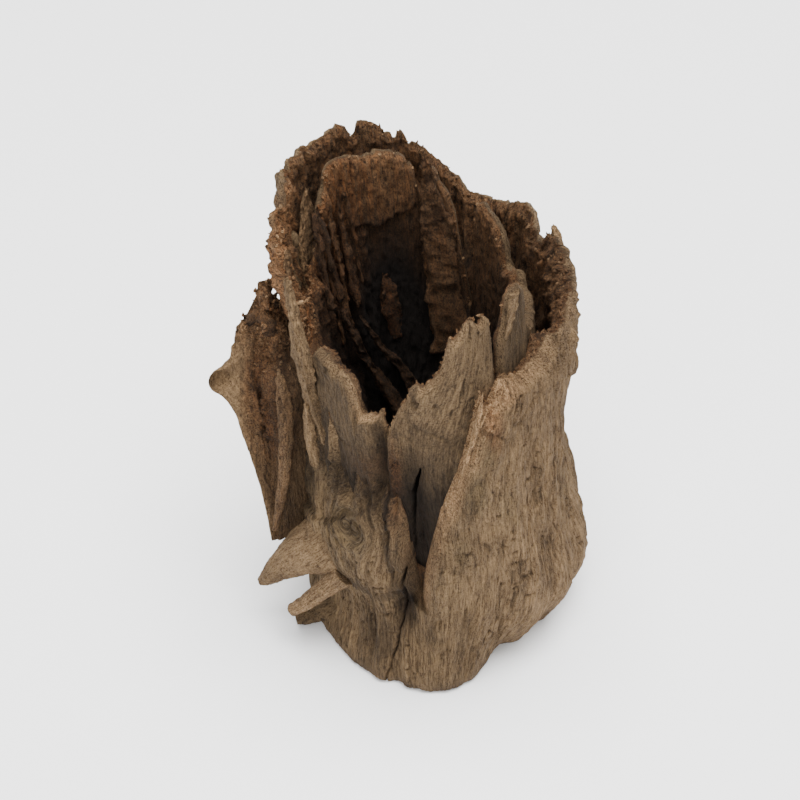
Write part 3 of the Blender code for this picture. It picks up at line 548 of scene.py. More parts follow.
def gapFace(angle, height, outside):
    # Inside of the outer wall: a thin wall above the gap's floor, grown into the inner wall below it
    floor = easedAround(wall["gapFloor"], angle)
    opened = eased01((height - floor) / wall["gapOpening"] + 0.5)
    flare = np.interp(height, innerWall["flareHeights"], innerWall["flares"])
    grownIn = easedAround(innerWall["radii"], angle) + flare - clefts(angle, height) - wall["overlap"]
    thickness = np.interp(height, wall["thicknessHeights"], wall["thicknesses"])
    more, start, rise = wall["thickMore"]
    thickness = thickness + more * facing(angle, *wall["thickRight"]) * eased01((height - start) / rise)
    grain = grainCoordinates(angle, height, 41.0)
    rough = 0.7 + 0 * height * angle
    relief, dark = weathering(grain, rough, 0.1)
    relief = 0.4 * relief + 0.3 * noise(grain / 1.3, 75)
    thin = np.minimum(outside - thickness - relief, outside - wall["leastThickness"])
    thin = np.maximum(thin, grownIn)
    return grownIn + opened * (thin - grownIn), grain, dark, rough


def rimLine(table, raggedness, seed, teeth):
    # Height of a broken rim: the table's line with lumps in four sizes and narrow notches,
    # stronger where the raggedness says so and in irregular stretches
    def line(angle):
        turn = np.radians(angle)
        place = np.stack((trunk["radius"] * np.cos(turn), trunk["radius"] * np.sin(turn), 0 * turn), -1)
        strength = around(raggedness, angle) * (0.55 + 0.6 * noise(place / 9.0, seed + 5))
        lumps = 1.3 * noise(place / 5.5, seed) + 0.9 * noise(place / 2.3, seed + 1)
        lumps = lumps + 0.6 * noise(place / 1.1, seed + 2) + 0.35 * noise(place / 0.6, seed + 4)
        notch = teeth * eased01((noise(place / 2.4, seed + 3) - 0.45) / 0.15)
        return around(table, angle) + strength * (lumps - notch) - 0.8
    return line


outerRim = rimLine(wall["rim"], wall["raggedness"], 81, 2.4)
innerRim = rimLine(innerWall["rim"], innerWall["raggedness"], 91, 2.8)


def edgeDistance(angle, height, rim, reach=9.0, step=0.5):
    # Shortest way over the unrolled wall to its broken edge: v up to the rim and h sideways to where the rim
    # is lower give v * h / sqrt(v * v + h * h), the distance to a slanting edge
    up = np.clip(rim(angle) - height, 0, None)
    sideways = np.full(up.shape, reach)
    turnStep = np.degrees(step / trunk["radius"])
    for side in (-1, 1):
        before = np.broadcast_to(rim(angle), up.shape)
        for count in range(1, int(reach / step) + 1):
            now = np.broadcast_to(rim(angle + side * count * turnStep), up.shape)
            crossed = (now <= height) & (before > height)
            share = (before - height) / np.maximum(before - now, 1e-6)
            sideways = np.where(crossed, np.minimum(sideways, (count - 1 + share) * step), sideways)
            before = now
    return up * sideways / np.maximum(np.hypot(up, sideways), 1e-6)


brokenEdge = dict(
    front=(-78, 22),          # plan angle and half-width where the break faces out
    right=(2, 26),            # and where it slopes in
    gain=1.2,
    widths=(2.2, 3.0, 4.6),   # mm everywhere, more in front, more on the right
    crests=(0.45, 0.45, 0.2),  # 0 outside to 1 inside: everywhere, more in front, less on the right
    innerWidth=1.5,
    innerCrest=0.5,
    crumbs=((2.4, 0.45), (1.2, 0.22)),  # size and height of the lumps on it
    crumbsFrom=(70, 30),      # height where the lumps start to grow, and over which they do
)
# Parts of the walls by plan angle and half-width
parts = dict(
    warmFront=(-30, 55), warmLeft=(-128, 20), frontBreak=(-76, 24), tornBreak=(-72, 8), rottenLeft=(172, 12),
    backInside=(130, 40), rightBreak=(5, 30), innerFront=(-100, 50), innerLeft=(155, 26), innerTorn=(-120, 6),
    ledge=(117, 18), litRight=(52, 17), frontGap=(-48, 9), leftGap=(220, 12),
)
outerTone = dict(
    warm=(0.25, 0.6, 0.5),    # least, more on the warm parts, the left one's share
    rot=(0.35, 0.6, 0.4),     # on the front break, inside, more inside on the left
    fresh=(0.2, 0.5, 0.2, 0.35),  # on each break, more in front, less on the left, on the rot there
    torn=(128, 16, 1.6),      # height, half-height and strength
    inside=(0.34, 0.56, 0.3, 60.0),  # painted shade at the rim, more below it, more at the back, the depth for that
    # Less painted shade inside on the rotten left
    leftLessShade=0.3,
    # Painted shade at the foot where it meets the floor: strength and half-height
    foot=(0.25, 5),
    # Painted shade on the brightly lit right break
    rightShade=0.25,
)
innerTone = dict(
    warm=0.5,
    rot=(0.62, 0.25),         # inside, more on the left
    fresh=(0.04, 0.28, 1.2),  # on each break, more in front, on the torn left edge
    top=(108, 68.0),          # height where the hollow's painted shade starts to lighten, and over which it does
    low=(0.75, 128, 40.0),    # painted shade low in front, from this height down, over this height
    inside=(0.92, 0.72, 1.2, 0.26, 0.16),  # painted shade deep in the hollow, less at the top, its power, more under the ledge, less on the lit right
    outside=(0.16, 0.3, 0.2, 0.16),  # painted shade on the outside everywhere, more off the front, in the front gap, in the left gap
    # Less painted shade on the broken edges
    edgeLessShade=0.5,
)


def wallHeights(bottom, start, top, rows):
    # Heights up one side of a wall: three rows from its hidden bottom, then rows that crowd towards the rim
    hidden = bottom + (start - bottom) * np.array((0.0, 0.4, 0.8))[:, None]
    climb = 1 - (1 - np.linspace(0, 1, rows)[:, None]) ** 1.25
    return np.concatenate((hidden, start + (top - start) * climb))


def wallSector(name, row, kind):
    # One closed stretch of a wall: its upright section is a loop up the outside, over the broken rim and
    # down the inside, carried round from the first plan angle to the last
    share = np.linspace(0, 1, row["columns"])
    angle = (row["span"][0] + (row["span"][1] - row["span"][0]) * share)[None, :]
    rim = kind["rim"]
    top = rim(angle)
    lowest = np.minimum(np.minimum(easedAround(wall["gapFloor"], angle), around(wall["rim"], angle)), top)
    lowest = lowest - wall["clearance"]
    upRows, downRows = row["rows"]
    up = wallHeights(kind["low"], kind["visibleOutside"](lowest), top, upRows)
    down = wallHeights(kind["floor"], kind["visibleInside"](lowest), top, downRows)[::-1][1:]
    heights = np.concatenate((up, down))
    outside, grainOut, darkOut, roughOut = kind["outside"](angle, heights)
    inside, grainIn, darkIn, roughIn = kind["inside"](angle, heights, outside)
    inside = np.minimum(inside, outside - wall["leastThickness"])
    away = edgeDistance(angle, heights, rim)
    bevel, lean = kind["bevel"](angle)
    near = np.clip(away / bevel, 0, 1)
    swell = 0.5 * near + 0.5 * np.sqrt(1 - (1 - near) ** 2)
    middle = outside - (outside - inside) * lean
    isOut = (np.arange(len(heights)) < len(up))[:, None]
    radius = np.where(isOut, middle + (outside - middle) * swell, middle - (middle - inside) * swell)
    edge = 1 - eased01(away / (bevel * 1.1))
    place = trunkPoint(angle, radius, heights)
    (coarse, high), (fine, low) = brokenEdge["crumbs"]
    crumbs = high * noise(place / coarse, 33) + low * noise(place / fine, 34)
    start, rise = brokenEdge["crumbsFrom"]
    radius = radius + edge * crumbs * np.where(isOut, 1, -1) * (0.3 + 0.7 * eased01((heights - start) / rise))
    grain = np.where(isOut[..., None], grainOut, grainIn)
    # Across the broken edge the grain's place moves with the radius, so that its texture isn't drawn out
    inward = 1 + (radius - np.where(isOut, outside, inside)) / trunk["radius"]
    grain = grain * np.stack((inward, inward, 0 * inward + 1), -1)
    dark = np.where(isOut, darkOut, darkIn)
    rough = np.clip(np.where(isOut, roughOut, roughIn) + 0.8 * edge, 0, 1)
    masks = kind["masks"](angle, heights, isOut, edge)
    masks = {**masks, "pit": dark, "rough": rough}
    masks = {key: np.broadcast_to(value, heights.shape) for key, value in masks.items()}
    points = trunkPoint(angle, radius, heights)
    skins.append((points, surfaceNormals(points), masks, edge))
    if kind["toAxis"]:
        axis = trunkPoint(angle, 0 * angle + 0.6, 0 * angle + kind["floor"])
        foot = trunkPoint(angle, 0 * angle + 0.6, 0 * angle + kind["low"])
        points = np.concatenate((points, axis, foot))
        grain = np.concatenate((grain, grain[-1:], grain[-1:]))
        masks = {key: np.concatenate((value, value[-1:], value[-1:])) for key, value in masks.items()}
    loopGrid(name, points, masks, grain)


def part(name, angle, gain=1.0):
    # The hill round the trunk about a named part, times the gain and 1 at most
    return np.clip(gain * facing(angle, *parts[name]), 0, 1)


def outerBevel(angle):
    # Width of the broken edge and where its crest lies, 0 outside to 1 inside: at the front right the break
    # faces out, and on the right it slopes in
    front = np.clip(brokenEdge["gain"] * facing(angle, *brokenEdge["front"]), 0, 1)
    right = np.clip(brokenEdge["gain"] * facing(angle, *brokenEdge["right"]), 0, 1)
    width, frontWidth, rightWidth = brokenEdge["widths"]
    crest, frontCrest, rightCrest = brokenEdge["crests"]
    return width + frontWidth * front + rightWidth * right, crest + frontCrest * front - rightCrest * right


def innerBevel(angle):
    # The same edge all the way round
    return brokenEdge["innerWidth"] + 0 * angle, brokenEdge["innerCrest"] + 0 * angle


def withSlit(shade, angle, height, isOut):
    # Painted shade in the slit, outside: at least as dark as its depth over the depth that is fully dark, up
    # to its limit
    full, limit = wall["slitShade"]
    return np.where(isOut, np.maximum(shade, np.clip(slit(angle, height) / full, 0, limit)), shade)


def outerMasks(angle, height, isOut, edge):
    # Warm wood, rot, fresh breaks, and stains and painted shade on the outer wall, each a sum of its parts'
    # strengths
    least, more, leftShare = outerTone["warm"]
    warm = least + more * np.clip(part("warmFront", angle) + leftShare * part("warmLeft", angle), 0, 1)
    warm = warm - spots(greySpots, angle, height)
    front = part("frontBreak", angle, 1.3)
    left = part("rottenLeft", angle)
    onBreak, rotInside, moreLeft = outerTone["rot"]
    rot = np.clip(spots(rotSpots, angle, height), 0, 1)
    rot = np.where(isOut, rot + onBreak * edge * front, rotInside + moreLeft * left)
    middle, half, strength = outerTone["torn"]
    torn = np.clip(strength * part("tornBreak", angle) * hill(height - middle, half), 0, 1)
    least, more, less, onRot = outerTone["fresh"]
    fresh = edge * isOut * np.clip(least + more * front + torn - less * left, 0, 1) + onRot * rot * left
    # Painted shade inside the gap: at the rim, deeper below it and at the back, less on the rotten left
    atRim, below, atBack, reach = outerTone["inside"]
    depth = np.clip((easedAround(wall["rim"], angle) - height) / reach, 0, 1)
    inside = atRim + below * depth + atBack * part("backInside", angle) * depth
    inside = inside - outerTone["leftLessShade"] * left
    # Outside: painted shade at the foot, the spots' stains and painted shade, painted shade on the right
    # break and in the slit
    paintedShade, half = outerTone["foot"]
    shade = np.where(isOut, paintedShade * hill(height, half), inside)
    shade = shade + isOut * spots(stainAndShadeSpots, angle, height)
    shade = shade + outerTone["rightShade"] * edge * part("rightBreak", angle, 1.2)
    return dict(warm=warm, rot=rot, fresh=fresh, shade=withSlit(shade, angle, height, isOut))


def innerMasks(angle, height, isOut, edge):
    # The same for the inner wall, whose painted shade inside the hollow lightens towards the rim
    front, left = part("innerFront", angle), part("innerLeft", angle)
    warm = np.where(isOut, innerTone["warm"] + 0 * height, 0.0)
    rotInside, moreLeft = innerTone["rot"]
    rot = np.where(isOut, spots(rotSpots, angle, height), rotInside + moreLeft * left)
    least, more, onTorn = innerTone["fresh"]
    fresh = edge * (least + more * front + part("innerTorn", angle) * onTorn)
    # Painted shade: deep in the hollow and lighter towards the rim, on the outside low in front and in the
    # gaps
    start, rise = innerTone["top"]
    top = np.clip((height - start) / rise, 0, 1)
    paintedShade, start, rise = innerTone["low"]
    low = paintedShade * np.clip((start - height) / rise, 0, 1) * front
    ledgeLow = eased01((innerWall["ledge"][0] + 3 - height) / 5) * part("ledge", angle)
    litRight = part("litRight", angle) * eased01((height - 96) / 30)
    deep, lighter, power, underLedge, lessRight = innerTone["inside"]
    inside = deep - lighter * top**power + underLedge * ledgeLow - lessRight * litRight * (1 - top)
    least, offFront, inFrontGap, inLeftGap = innerTone["outside"]
    outside = least + offFront * (1 - front) + inFrontGap * part("frontGap", angle)
    outside = outside + inLeftGap * part("leftGap", angle) + low
    shade = np.where(isOut, outside, inside) * (1 - innerTone["edgeLessShade"] * edge)
    return dict(warm=warm, rot=rot, fresh=fresh, shade=withSlit(shade, angle, height, isOut))


def cavityInside(angle, height, outside):
    # The hollow's face, called like gapFace
    return cavityFace(angle, height)


wallKinds = dict(
    outer=dict(
        rim=outerRim, low=0.0, floor=wall["block"], outside=outerFace, inside=gapFace, bevel=outerBevel,
        masks=outerMasks, toAxis=True, visibleOutside=lambda lowest: 0 * lowest + 0.4,
        visibleInside=lambda lowest: np.maximum(lowest, wall["block"] + 4)),
    inner=dict(
        rim=innerRim, low=innerWall["low"], floor=48.0, outside=innerFace, inside=cavityInside,
        bevel=innerBevel, masks=innerMasks, toAxis=False,
        visibleOutside=lambda lowest: np.maximum(lowest, innerWall["low"] + 4),
        visibleInside=lambda lowest: 0 * lowest + 50.0),
)
sectors = dict(
    outer_wall_front=dict(kind="outer", span=(-103.5, -15.0), columns=245, rows=(275, 50)),
    outer_wall_right=dict(kind="outer", span=(-15.0, 75.0), columns=155, rows=(220, 85)),
    outer_wall_back=dict(kind="outer", span=(75.0, 185.0), columns=160, rows=(225, 85)),
    outer_wall_left=dict(kind="outer", span=(185.0, 256.5), columns=205, rows=(235, 40)),
    inner_wall_front=dict(kind="inner", span=(-115.8, -59.6), columns=150, rows=(180, 105)),
    inner_wall_right=dict(kind="inner", span=(-60.6, 93.5), columns=195, rows=(100, 150)),
    inner_wall_left=dict(kind="inner", span=(92.8, 244.3), columns=205, rows=(115, 155)),
)
skins = []
for name, row in sectors.items():
    wallSector(name, row, wallKinds[row["kind"]])
    print(name, len(pieces[-1].data.polygons))


def cavityFloor(name, columns=80, rings=50, reach=33.0):
    # The bottom of the hollow: half sections of a rough disc carried right round, meeting at the middle
    angle = np.linspace(0, 360, columns, endpoint=False)
    out = np.linspace(0, reach, rings)
    top = trunkPoint(angle[None, :], out[:, None], trunk["cavityFloor"] + 0 * out[:, None] * angle)
    top[..., 2] += 4.5 * layered(top, 9.0, 9.0, 5, 4) + 6 * (out[:, None] / reach) ** 3
    top[0] = top[0].mean(axis=0)
    rim = trunkPoint(angle[None, :], reach + 0 * angle[None, :], 44.0 + 0 * angle[None, :])
    flat = np.concatenate((top[1:], rim)).transpose(1, 0, 2)
    corner = np.arange(columns * rings).reshape(columns, rings)
    after = np.roll(corner, -1, axis=0)
    quads = np.stack((corner[:, :-1], corner[:, 1:], after[:, 1:], after[:, :-1]), -1).reshape(-1, 4)
    centre = columns * rings
    fan = [[centre, first, second] for first, second in zip(corner[:, 0].tolist(), after[:, 0].tolist())]
    points = np.concatenate((flat.reshape(-1, 3), top[0][:1]))
    faces = quads.tolist() + fan + [corner[::-1, -1].tolist()]
    # Painted shade over the hollow's floor
    masks = dict(warm=0.1, rot=0.5, fresh=0.0, shade=0.95, pit=0.0, rough=0.8)
    masks = {key: np.full(len(points), value) for key, value in masks.items()}
    meshObject(name, points, faces, 1, masks, points.copy())


cavityFloor("cavity_floor")


# Tapered shards, stems and the fin

shards = dict(
    left_post=(
        ((197.5, 46.2, 160.5), (199, 46.3, 156), (202, 46.5, 148.5), (205, 46.6, 139), (206.5, 46.8, 129),
         (206, 46.2, 118), (206, 44.6, 108), (207, 43, 96), (208, 41, 84)),
        (1.7, 1.9, 2.6, 4.2, 4.8, 4.6, 4.2, 3.6, 3.0), (1.3, 1.5, 1.9, 2.6, 2.6, 2.4, 2.4, 2.4, 2.4)),
    left_tooth=(
        ((206, 47.4, 115.5), (205.5, 47.8, 110), (205, 48.0, 103), (204, 47.8, 94), (203, 47.2, 84)),
        (0.9, 1.9, 2.8, 3.4, 3.6), (0.8, 1.2, 1.5, 1.8, 1.8)),
    left_lath=(
        ((175, 45.6, 157), (176, 45.8, 150), (178, 45.6, 140), (181, 44.6, 126)),
        (1.6, 2.8, 3.2, 3.2), (1.0, 1.4, 1.7, 2.0)),
    left_shard=(
        ((153, 43.4, 169.5), (154, 43.6, 162), (156, 43.4, 154), (158, 43.2, 146), (160, 42.4, 136),
         (161, 41, 120)),
        (1.4, 4.0, 5.8, 6.4, 6.0, 5.0), (0.8, 1.2, 1.5, 1.8, 2.2, 2.4)),
    left_nub=(
        ((163, 45.4, 157), (164, 45.6, 151), (166, 45.4, 143), (169, 45, 134), (172, 44, 120)),
        (2.4, 3.6, 3.8, 3.6, 3.2), (1.1, 1.6, 1.9, 2.1, 2.4)),
    bright_splinter=(
        ((-47, 38.6, 168.5), (-49.5, 38.9, 164), (-52, 39.1, 159), (-54, 39.2, 153)),
        (2.3, 2.0, 1.6, 1.0), (0.9, 1.2, 1.2, 0.9)),
    spear=(
        ((90, 31.4, 172.5), (88.5, 31.0, 164), (86.5, 30.2, 153), (84, 29.4, 138), (82, 28.4, 118),
         (81, 27.6, 92)),
        (1.6, 2.8, 4.4, 6.2, 7.2, 7.4), (0.8, 1.3, 1.7, 2.1, 2.6, 2.8)),
    slit_stick=(
        ((95, 34.6, 157), (95, 34.2, 148), (94.5, 34, 134)), (0.8, 1.1, 1.5), (0.8, 1.1, 1.4)),
    rim_spike=(
        ((25.5, 45.5, 154.5), (25, 45.8, 151.5), (23.5, 46, 145)), (1.1, 1.9, 2.8), (0.8, 1.4, 1.8)),
    cavity_rib=(
        ((158, 33, 124), (155, 31.0, 113), (148, 29.6, 99), (138, 28.2, 85), (128, 27.6, 71),
         (120, 27.6, 58)),
        (1.2, 2.2, 2.6, 2.4, 2.8, 4.0), (0.9, 1.4, 1.6, 1.6, 2.4, 3.6)),
    cavity_curl=(
        ((146, 31, 118), (140, 29.2, 108), (131, 28.6, 97), (121, 28, 88), (112, 28.4, 76)),
        (0.9, 1.4, 1.7, 1.9, 2.6), (0.7, 1.0, 1.2, 1.4, 2.2)),
    cavity_flake=(
        ((121, 32.0, 127), (120.5, 31.4, 121), (119, 31.6, 112), (117, 32.2, 98)),
        (1.4, 3.2, 3.8, 2.6), (1.0, 1.6, 1.9, 2.0)),
)
# shade is painted shade, heaviest on the pieces deep in the hollow
shardTones = dict(
    left_post=dict(warm=0.6, shade=0.06, fresh=0.1),
    left_tooth=dict(warm=0.7, shade=0.0, fresh=0.08),
    left_lath=dict(warm=0.3, shade=0.25, fresh=0.05, rot=0.3),
    left_shard=dict(warm=0.4, shade=0.16, fresh=0.14, rot=0.2),
    left_nub=dict(warm=0.3, shade=0.18, fresh=0.1),
    bright_splinter=dict(warm=0.5, shade=0.18, fresh=0.2),
    spear=dict(warm=0.6, shade=0.56, rot=0.6, rough=0.7),
    slit_stick=dict(warm=0.2, shade=0.55, rot=0.4),
    rim_spike=dict(warm=0.6, shade=0.05, fresh=0.4),
    cavity_rib=dict(warm=0.1, shade=0.76, rot=0.7, rough=0.9),
    cavity_curl=dict(warm=0.2, shade=0.8, rot=0.7, rough=0.9),
    cavity_flake=dict(warm=0.1, shade=0.72, rot=0.95, rough=1.0),
)
# The pieces' default, with a little painted shade
plainTone = dict(warm=0.3, rot=0.0, fresh=0.0, shade=0.1, rough=0.35)

# Long torn strips on the hollow's left wall, and the pale torn fibres on the front break
strips = dict(
    count=11, angles=(137, 172), tops=(150, 170), lengths=(22, 52), halfWidths=(0.8, 1.9), inset=5.6, seed=5)
tuft = dict(
    count=9, angle=(-75.5, -67.5), reach=(3.5, 7.5), halfWidth=(0.35, 0.8), radii=(42.4, 43.6, 44.4), seed=6)


def cubic(a, b, c, d, t):
    # From b at t = 0 to c at t = 1, with the slopes (c - a) / 2 and (d - b) / 2
    return 0.5 * (2 * b + (c - a) * t + (2 * a - 5 * b + 4 * c - d) * t**2 + (3 * b - a - 3 * c + d) * t**3)


def smoothPath(points, count):
    # A smooth curve through the points, read at even steps (cubic pieces that share their slopes)
    points = np.array(points, float)
    padded = np.concatenate((2 * points[:1] - points[1:2], points, 2 * points[-1:] - points[-2:-1]))
    at = np.linspace(0, len(points) - 1, count)
    start = np.minimum(at.astype(int), len(points) - 2)
    t = (at - start)[:, None]
    return cubic(*(padded[start + k] for k in range(4)), t)


def finished(name, points, along, look, roughness, seed=0):
    # Roughens a ring grid along its normals and gives it its masks; along is the way in mm down its length
    ring, columns, _ = points.shape
    normal = surfaceNormals(points)
    section = points - points.mean(axis=0, keepdims=True)
    grain = np.stack((section[..., 0] + seed * 13.7, section[..., 1] + section[..., 2] * 0.3,
                      np.broadcast_to(along, (ring, columns))), -1)
    masks = {key: np.full((ring, columns), float(value)) for key, value in {**plainTone, **look}.items()}
    relief, dark = weathering(grain, np.clip(masks["rough"] + masks["rot"], 0, 1), 0.5)
    crumbs = 0.35 * noise(points / 1.6, 35) + 0.25 * noise(points / 0.8, 36)
    points = points + normal * (relief * roughness + crumbs * min(1.0, 2 * roughness))[..., None]
    masks["pit"] = dark * 0.8
    loopGrid(name, points, masks, grain)


def boxy(value, power=0.62):
    # Squares off a circle's sine or cosine, so that the section is a slab with rounded edges
    return np.sign(value) * np.abs(value) ** power


def shard(name, line, widths, thicknesses, look, sides=28, step=0.75, torn=2.2, roughness=0.5):
    # A slab-like section carried down its centre line, its width along the trunk's skin, its top end torn
    line = np.array(line, float)
    seed = sum(ord(letter) for letter in name)
    count = int(max(14, np.abs(line[0, 2] - line[-1, 2]) / step))
    path = smoothPath(line, count)
    middle = trunkPoint(path[:, 0], path[:, 1], path[:, 2])
    sizes = np.maximum(smoothPath(np.stack((widths, thicknesses), -1), count), 0.25)
    turn = np.radians(path[:, 0])
    outwards = np.stack((np.cos(turn), np.sin(turn), 0 * turn), -1)
    tangent = np.gradient(middle, axis=0)
    tangent /= np.linalg.norm(tangent, axis=1)[:, None]
    across = np.cross(tangent, outwards)
    across /= np.linalg.norm(across, axis=1)[:, None]
    corner = np.linspace(0, 2 * math.pi, sides, endpoint=False)[:, None]
    down = np.arange(count)[None, :] * step
    ring = np.stack(np.broadcast_arrays(np.cos(corner) * 1.5, np.sin(corner) * 1.5, down / 5.0), -1)
    wobble = 1 + 0.2 * noise(ring, seed % 50) + 0.12 * noise(ring * 2.6, seed % 50 + 1)
    points = middle + (across * sizes[:, :1]) * (boxy(np.cos(corner)) * wobble)[..., None]
    points = points + (outwards * sizes[:, 1:]) * (boxy(np.sin(corner)) * wobble)[..., None]
    tooth = noise(np.stack((np.cos(corner) * 1.9, np.sin(corner) * 0.6, 0 * corner + seed % 31), -1), 63)
    points = points + tangent * (torn * tooth * np.exp(-down / 3.5))[..., None]
    finished(name, points, middle[None, :, 2], look, roughness, seed=seed % 17)


# No stem runs this way, so its cross product with a stem's direction always gives a side
offStem = (0.0, 1.0, 0.25)


def stem(name, points, radii, look, sides=40, step=0.5, roughness=0.3):
    # A round stem: rings of a changing radius carried along a smooth curve
    length = np.linalg.norm(np.diff(np.array(points, float), axis=0), axis=1).sum()
    count = int(length / step) + 4
    path = smoothPath(points, count)
    radius = smoothPath(np.array(radii, float)[:, None], count)
    tangent = np.gradient(path, axis=0)
    tangent /= np.linalg.norm(tangent, axis=1)[:, None]
    side = np.cross(tangent, offStem)
    side /= np.linalg.norm(side, axis=1)[:, None]
    other = np.cross(side, tangent)
    turn = np.linspace(0, 2 * math.pi, sides, endpoint=False)[:, None, None]
    rings = path + (side * np.cos(turn) + other * np.sin(turn)) * radius
    along = np.linspace(0, length, count)[None, :]
    finished(name, rings, along, look, roughness, seed=len(name))


for name, (line, widths, thicknesses) in shards.items():
    shard(name, line, widths, thicknesses, shardTones[name])
draw = np.random.default_rng(strips["seed"])
for number in range(strips["count"]):
    at = strips["angles"][0] + (number + draw.uniform(0.1, 0.9)) * np.ptp(strips["angles"]) / strips["count"]
    top, length = draw.uniform(*strips["tops"]), draw.uniform(*strips["lengths"])
    half, drift = draw.uniform(*strips["halfWidths"]), draw.uniform(-2, 2)
    out = easedAround(innerWall["radii"], at) - strips["inset"]
    side = at + drift
    line = ((at, out, top), (side, out - 0.6, top - length * 0.4), (side, out - 2.6, top - length))
    # Painted shade on the strips inside the hollow
    look = dict(rot=0.75, shade=0.52 + 0.24 * draw.random(), warm=0.2, rough=0.7)
    shard(f"inner_strip_{number}", line, (0.5, half, half * 0.8), (0.5, 0.9, 0.9), look, sides=16, step=0.9)
draw = np.random.default_rng(tuft["seed"])
for number in range(tuft["count"]):
    share = (number + draw.random()) / tuft["count"]
    at = tuft["angle"][0] + share * np.ptp(tuft["angle"])
    low = at - draw.uniform(*tuft["reach"])
    half = draw.uniform(*tuft["halfWidth"])
    top = around(wall["rim"], at) - draw.uniform(0.3, 1.6)
    bottom = around(wall["rim"], low) - draw.uniform(1.5, 3.5)
    near, between, far = tuft["radii"]
    line = ((at, near, top), ((at + low) / 2, between, (top + bottom) / 2 - 0.5), (low, far, bottom))
    look = dict(fresh=draw.uniform(0.6, 1.0), warm=1.0, shade=0.0, rough=0.5)
    widths, thicknesses = (0.3, half, half), (0.3, 0.6, 0.6)
    shard(f"torn_fibre_{number}", line, widths, thicknesses, look, sides=12, step=0.8, roughness=0.2)
print("shards", len(shards) + strips["count"] + tuft["count"])

shift = np.array((trunk["centre"][0], trunk["centre"][1], 0.0))
stems = dict(
    horn=(((-38, -20, 52), (-46, -22, 46), (-54, -22, 41), (-62, -22, 34), (-68.5, -22.5, 27),
           (-71.6, -23, 25)),
          (14.0, 12.0, 9.2, 6.0, 3.3, 1.6)),
    peg=(((-40, -33, 42), (-48, -33, 33), (-55, -32, 24), (-59.5, -31.5, 19.5)), (5.0, 3.6, 2.9, 2.4)),
    runner=(((-38, -20, 12), (-48, -21, 8), (-54, -22, 5), (-59, -23, 4.2)), (8.0, 5.0, 3.6, 2.4)),
    fin_ridge=(((-61.2, -8, 117), (-60.3, -9.5, 110), (-59.3, -11.5, 99), (-59.8, -14, 84),
                (-61.5, -16.5, 68), (-65, -18, 48)), (1.0, 2.1, 2.7, 2.5, 2.2, 1.4)),
    post_twig=(((-57.0, -14.4, 150.4), (-55.4, -14.0, 150.8), (-53.0, -13.4, 151.2), (-51.2, -13.0, 151.4)),
               (1.2, 0.9, 1.0, 0.9)),
)
# shade is painted shade, on the runner near the floor and on the fin's ridge
stemTones = dict(
    horn=dict(warm=0.75, shade=0.0),
    peg=dict(warm=0.8, fresh=0.3, shade=0.0),
    runner=dict(warm=0.4, shade=0.3),
    fin_ridge=dict(warm=0.5, fresh=0.05, rot=0.3, shade=0.26, rough=0.6),
    post_twig=dict(warm=0.8, fresh=0.5, shade=0.0),
)
for name, (points, radii) in stems.items():
    stem(name, np.array(points) + shift, radii, stemTones[name])

fin = dict(
    sections=(
        (43, ((-66.0, -18.5), (-64.5, -18.5), (-62.0, -18.0), (-49, -10), (-60.5, -13))),
        (52, ((-67.0, -17), (-64, -15.5), (-60.5, -16.5), (-48, -6), (-61, -10))),
        (66, ((-69.0, -14.5), (-65, -11.5), (-60, -15.5), (-49, -3), (-63, -5))),
        (84, ((-73.0, -11), (-66, -6), (-59, -13.5), (-48, 3), (-66, 0))),
        (96, ((-76.2, -8), (-68, -2), (-58.5, -11), (-48, 8), (-69, 4))),
        (101, ((-79.0, -7), (-69, -1), (-58.5, -10), (-48, 10), (-71, 5))),
        (105, ((-81.6, -6), (-70, 0), (-58.8, -9), (-48, 11), (-73, 6))),
        (108, ((-82.9, -5), (-70.5, 1), (-59, -7), (-48, 12), (-74, 6))),
        (111, ((-81.4, -4), (-70, 2), (-59.5, -4), (-48, 13), (-73, 7))),
        (114, ((-79.4, -2.4), (-69, 3), (-59.2, -1), (-48, 14), (-71, 8))),
        (119, ((-77.6, 0), (-68, 4), (-59, 1), (-48, 15), (-69, 9.5))),
        (127, ((-77.0, 3), (-67, 6), (-58, 6), (-49, 16), (-66, 11))),
        (132, ((-76.0, 4.5), (-66, 7), (-58, 9), (-50, 16), (-64.5, 11.5))),
    ),
    frontShare=0.6,       # share of the section's loop that is its hollow front face
    knob=(-80.9, -4.8, 108.0),
    knobRadius=4.1,       # the knob rounds the fin's corner out to this distance from its middle
    crest=(
        (-85, 112), (-80, 118), (-77.4, 121), (-76, 119.5), (-74.6, 123), (-73, 125.5), (-71.6, 124.5),
        (-70.6, 126), (-69.2, 122.5), (-68.7, 129), (-67.6, 131), (-66.8, 129.5), (-65.9, 139.5),
        (-64.9, 138), (-64.3, 133.5), (-62.6, 132), (-60.8, 126), (-57, 120), (-50, 112),
    ),
    crestFrom=112.0,
    topRings=7,
    topRound=2.0,
)


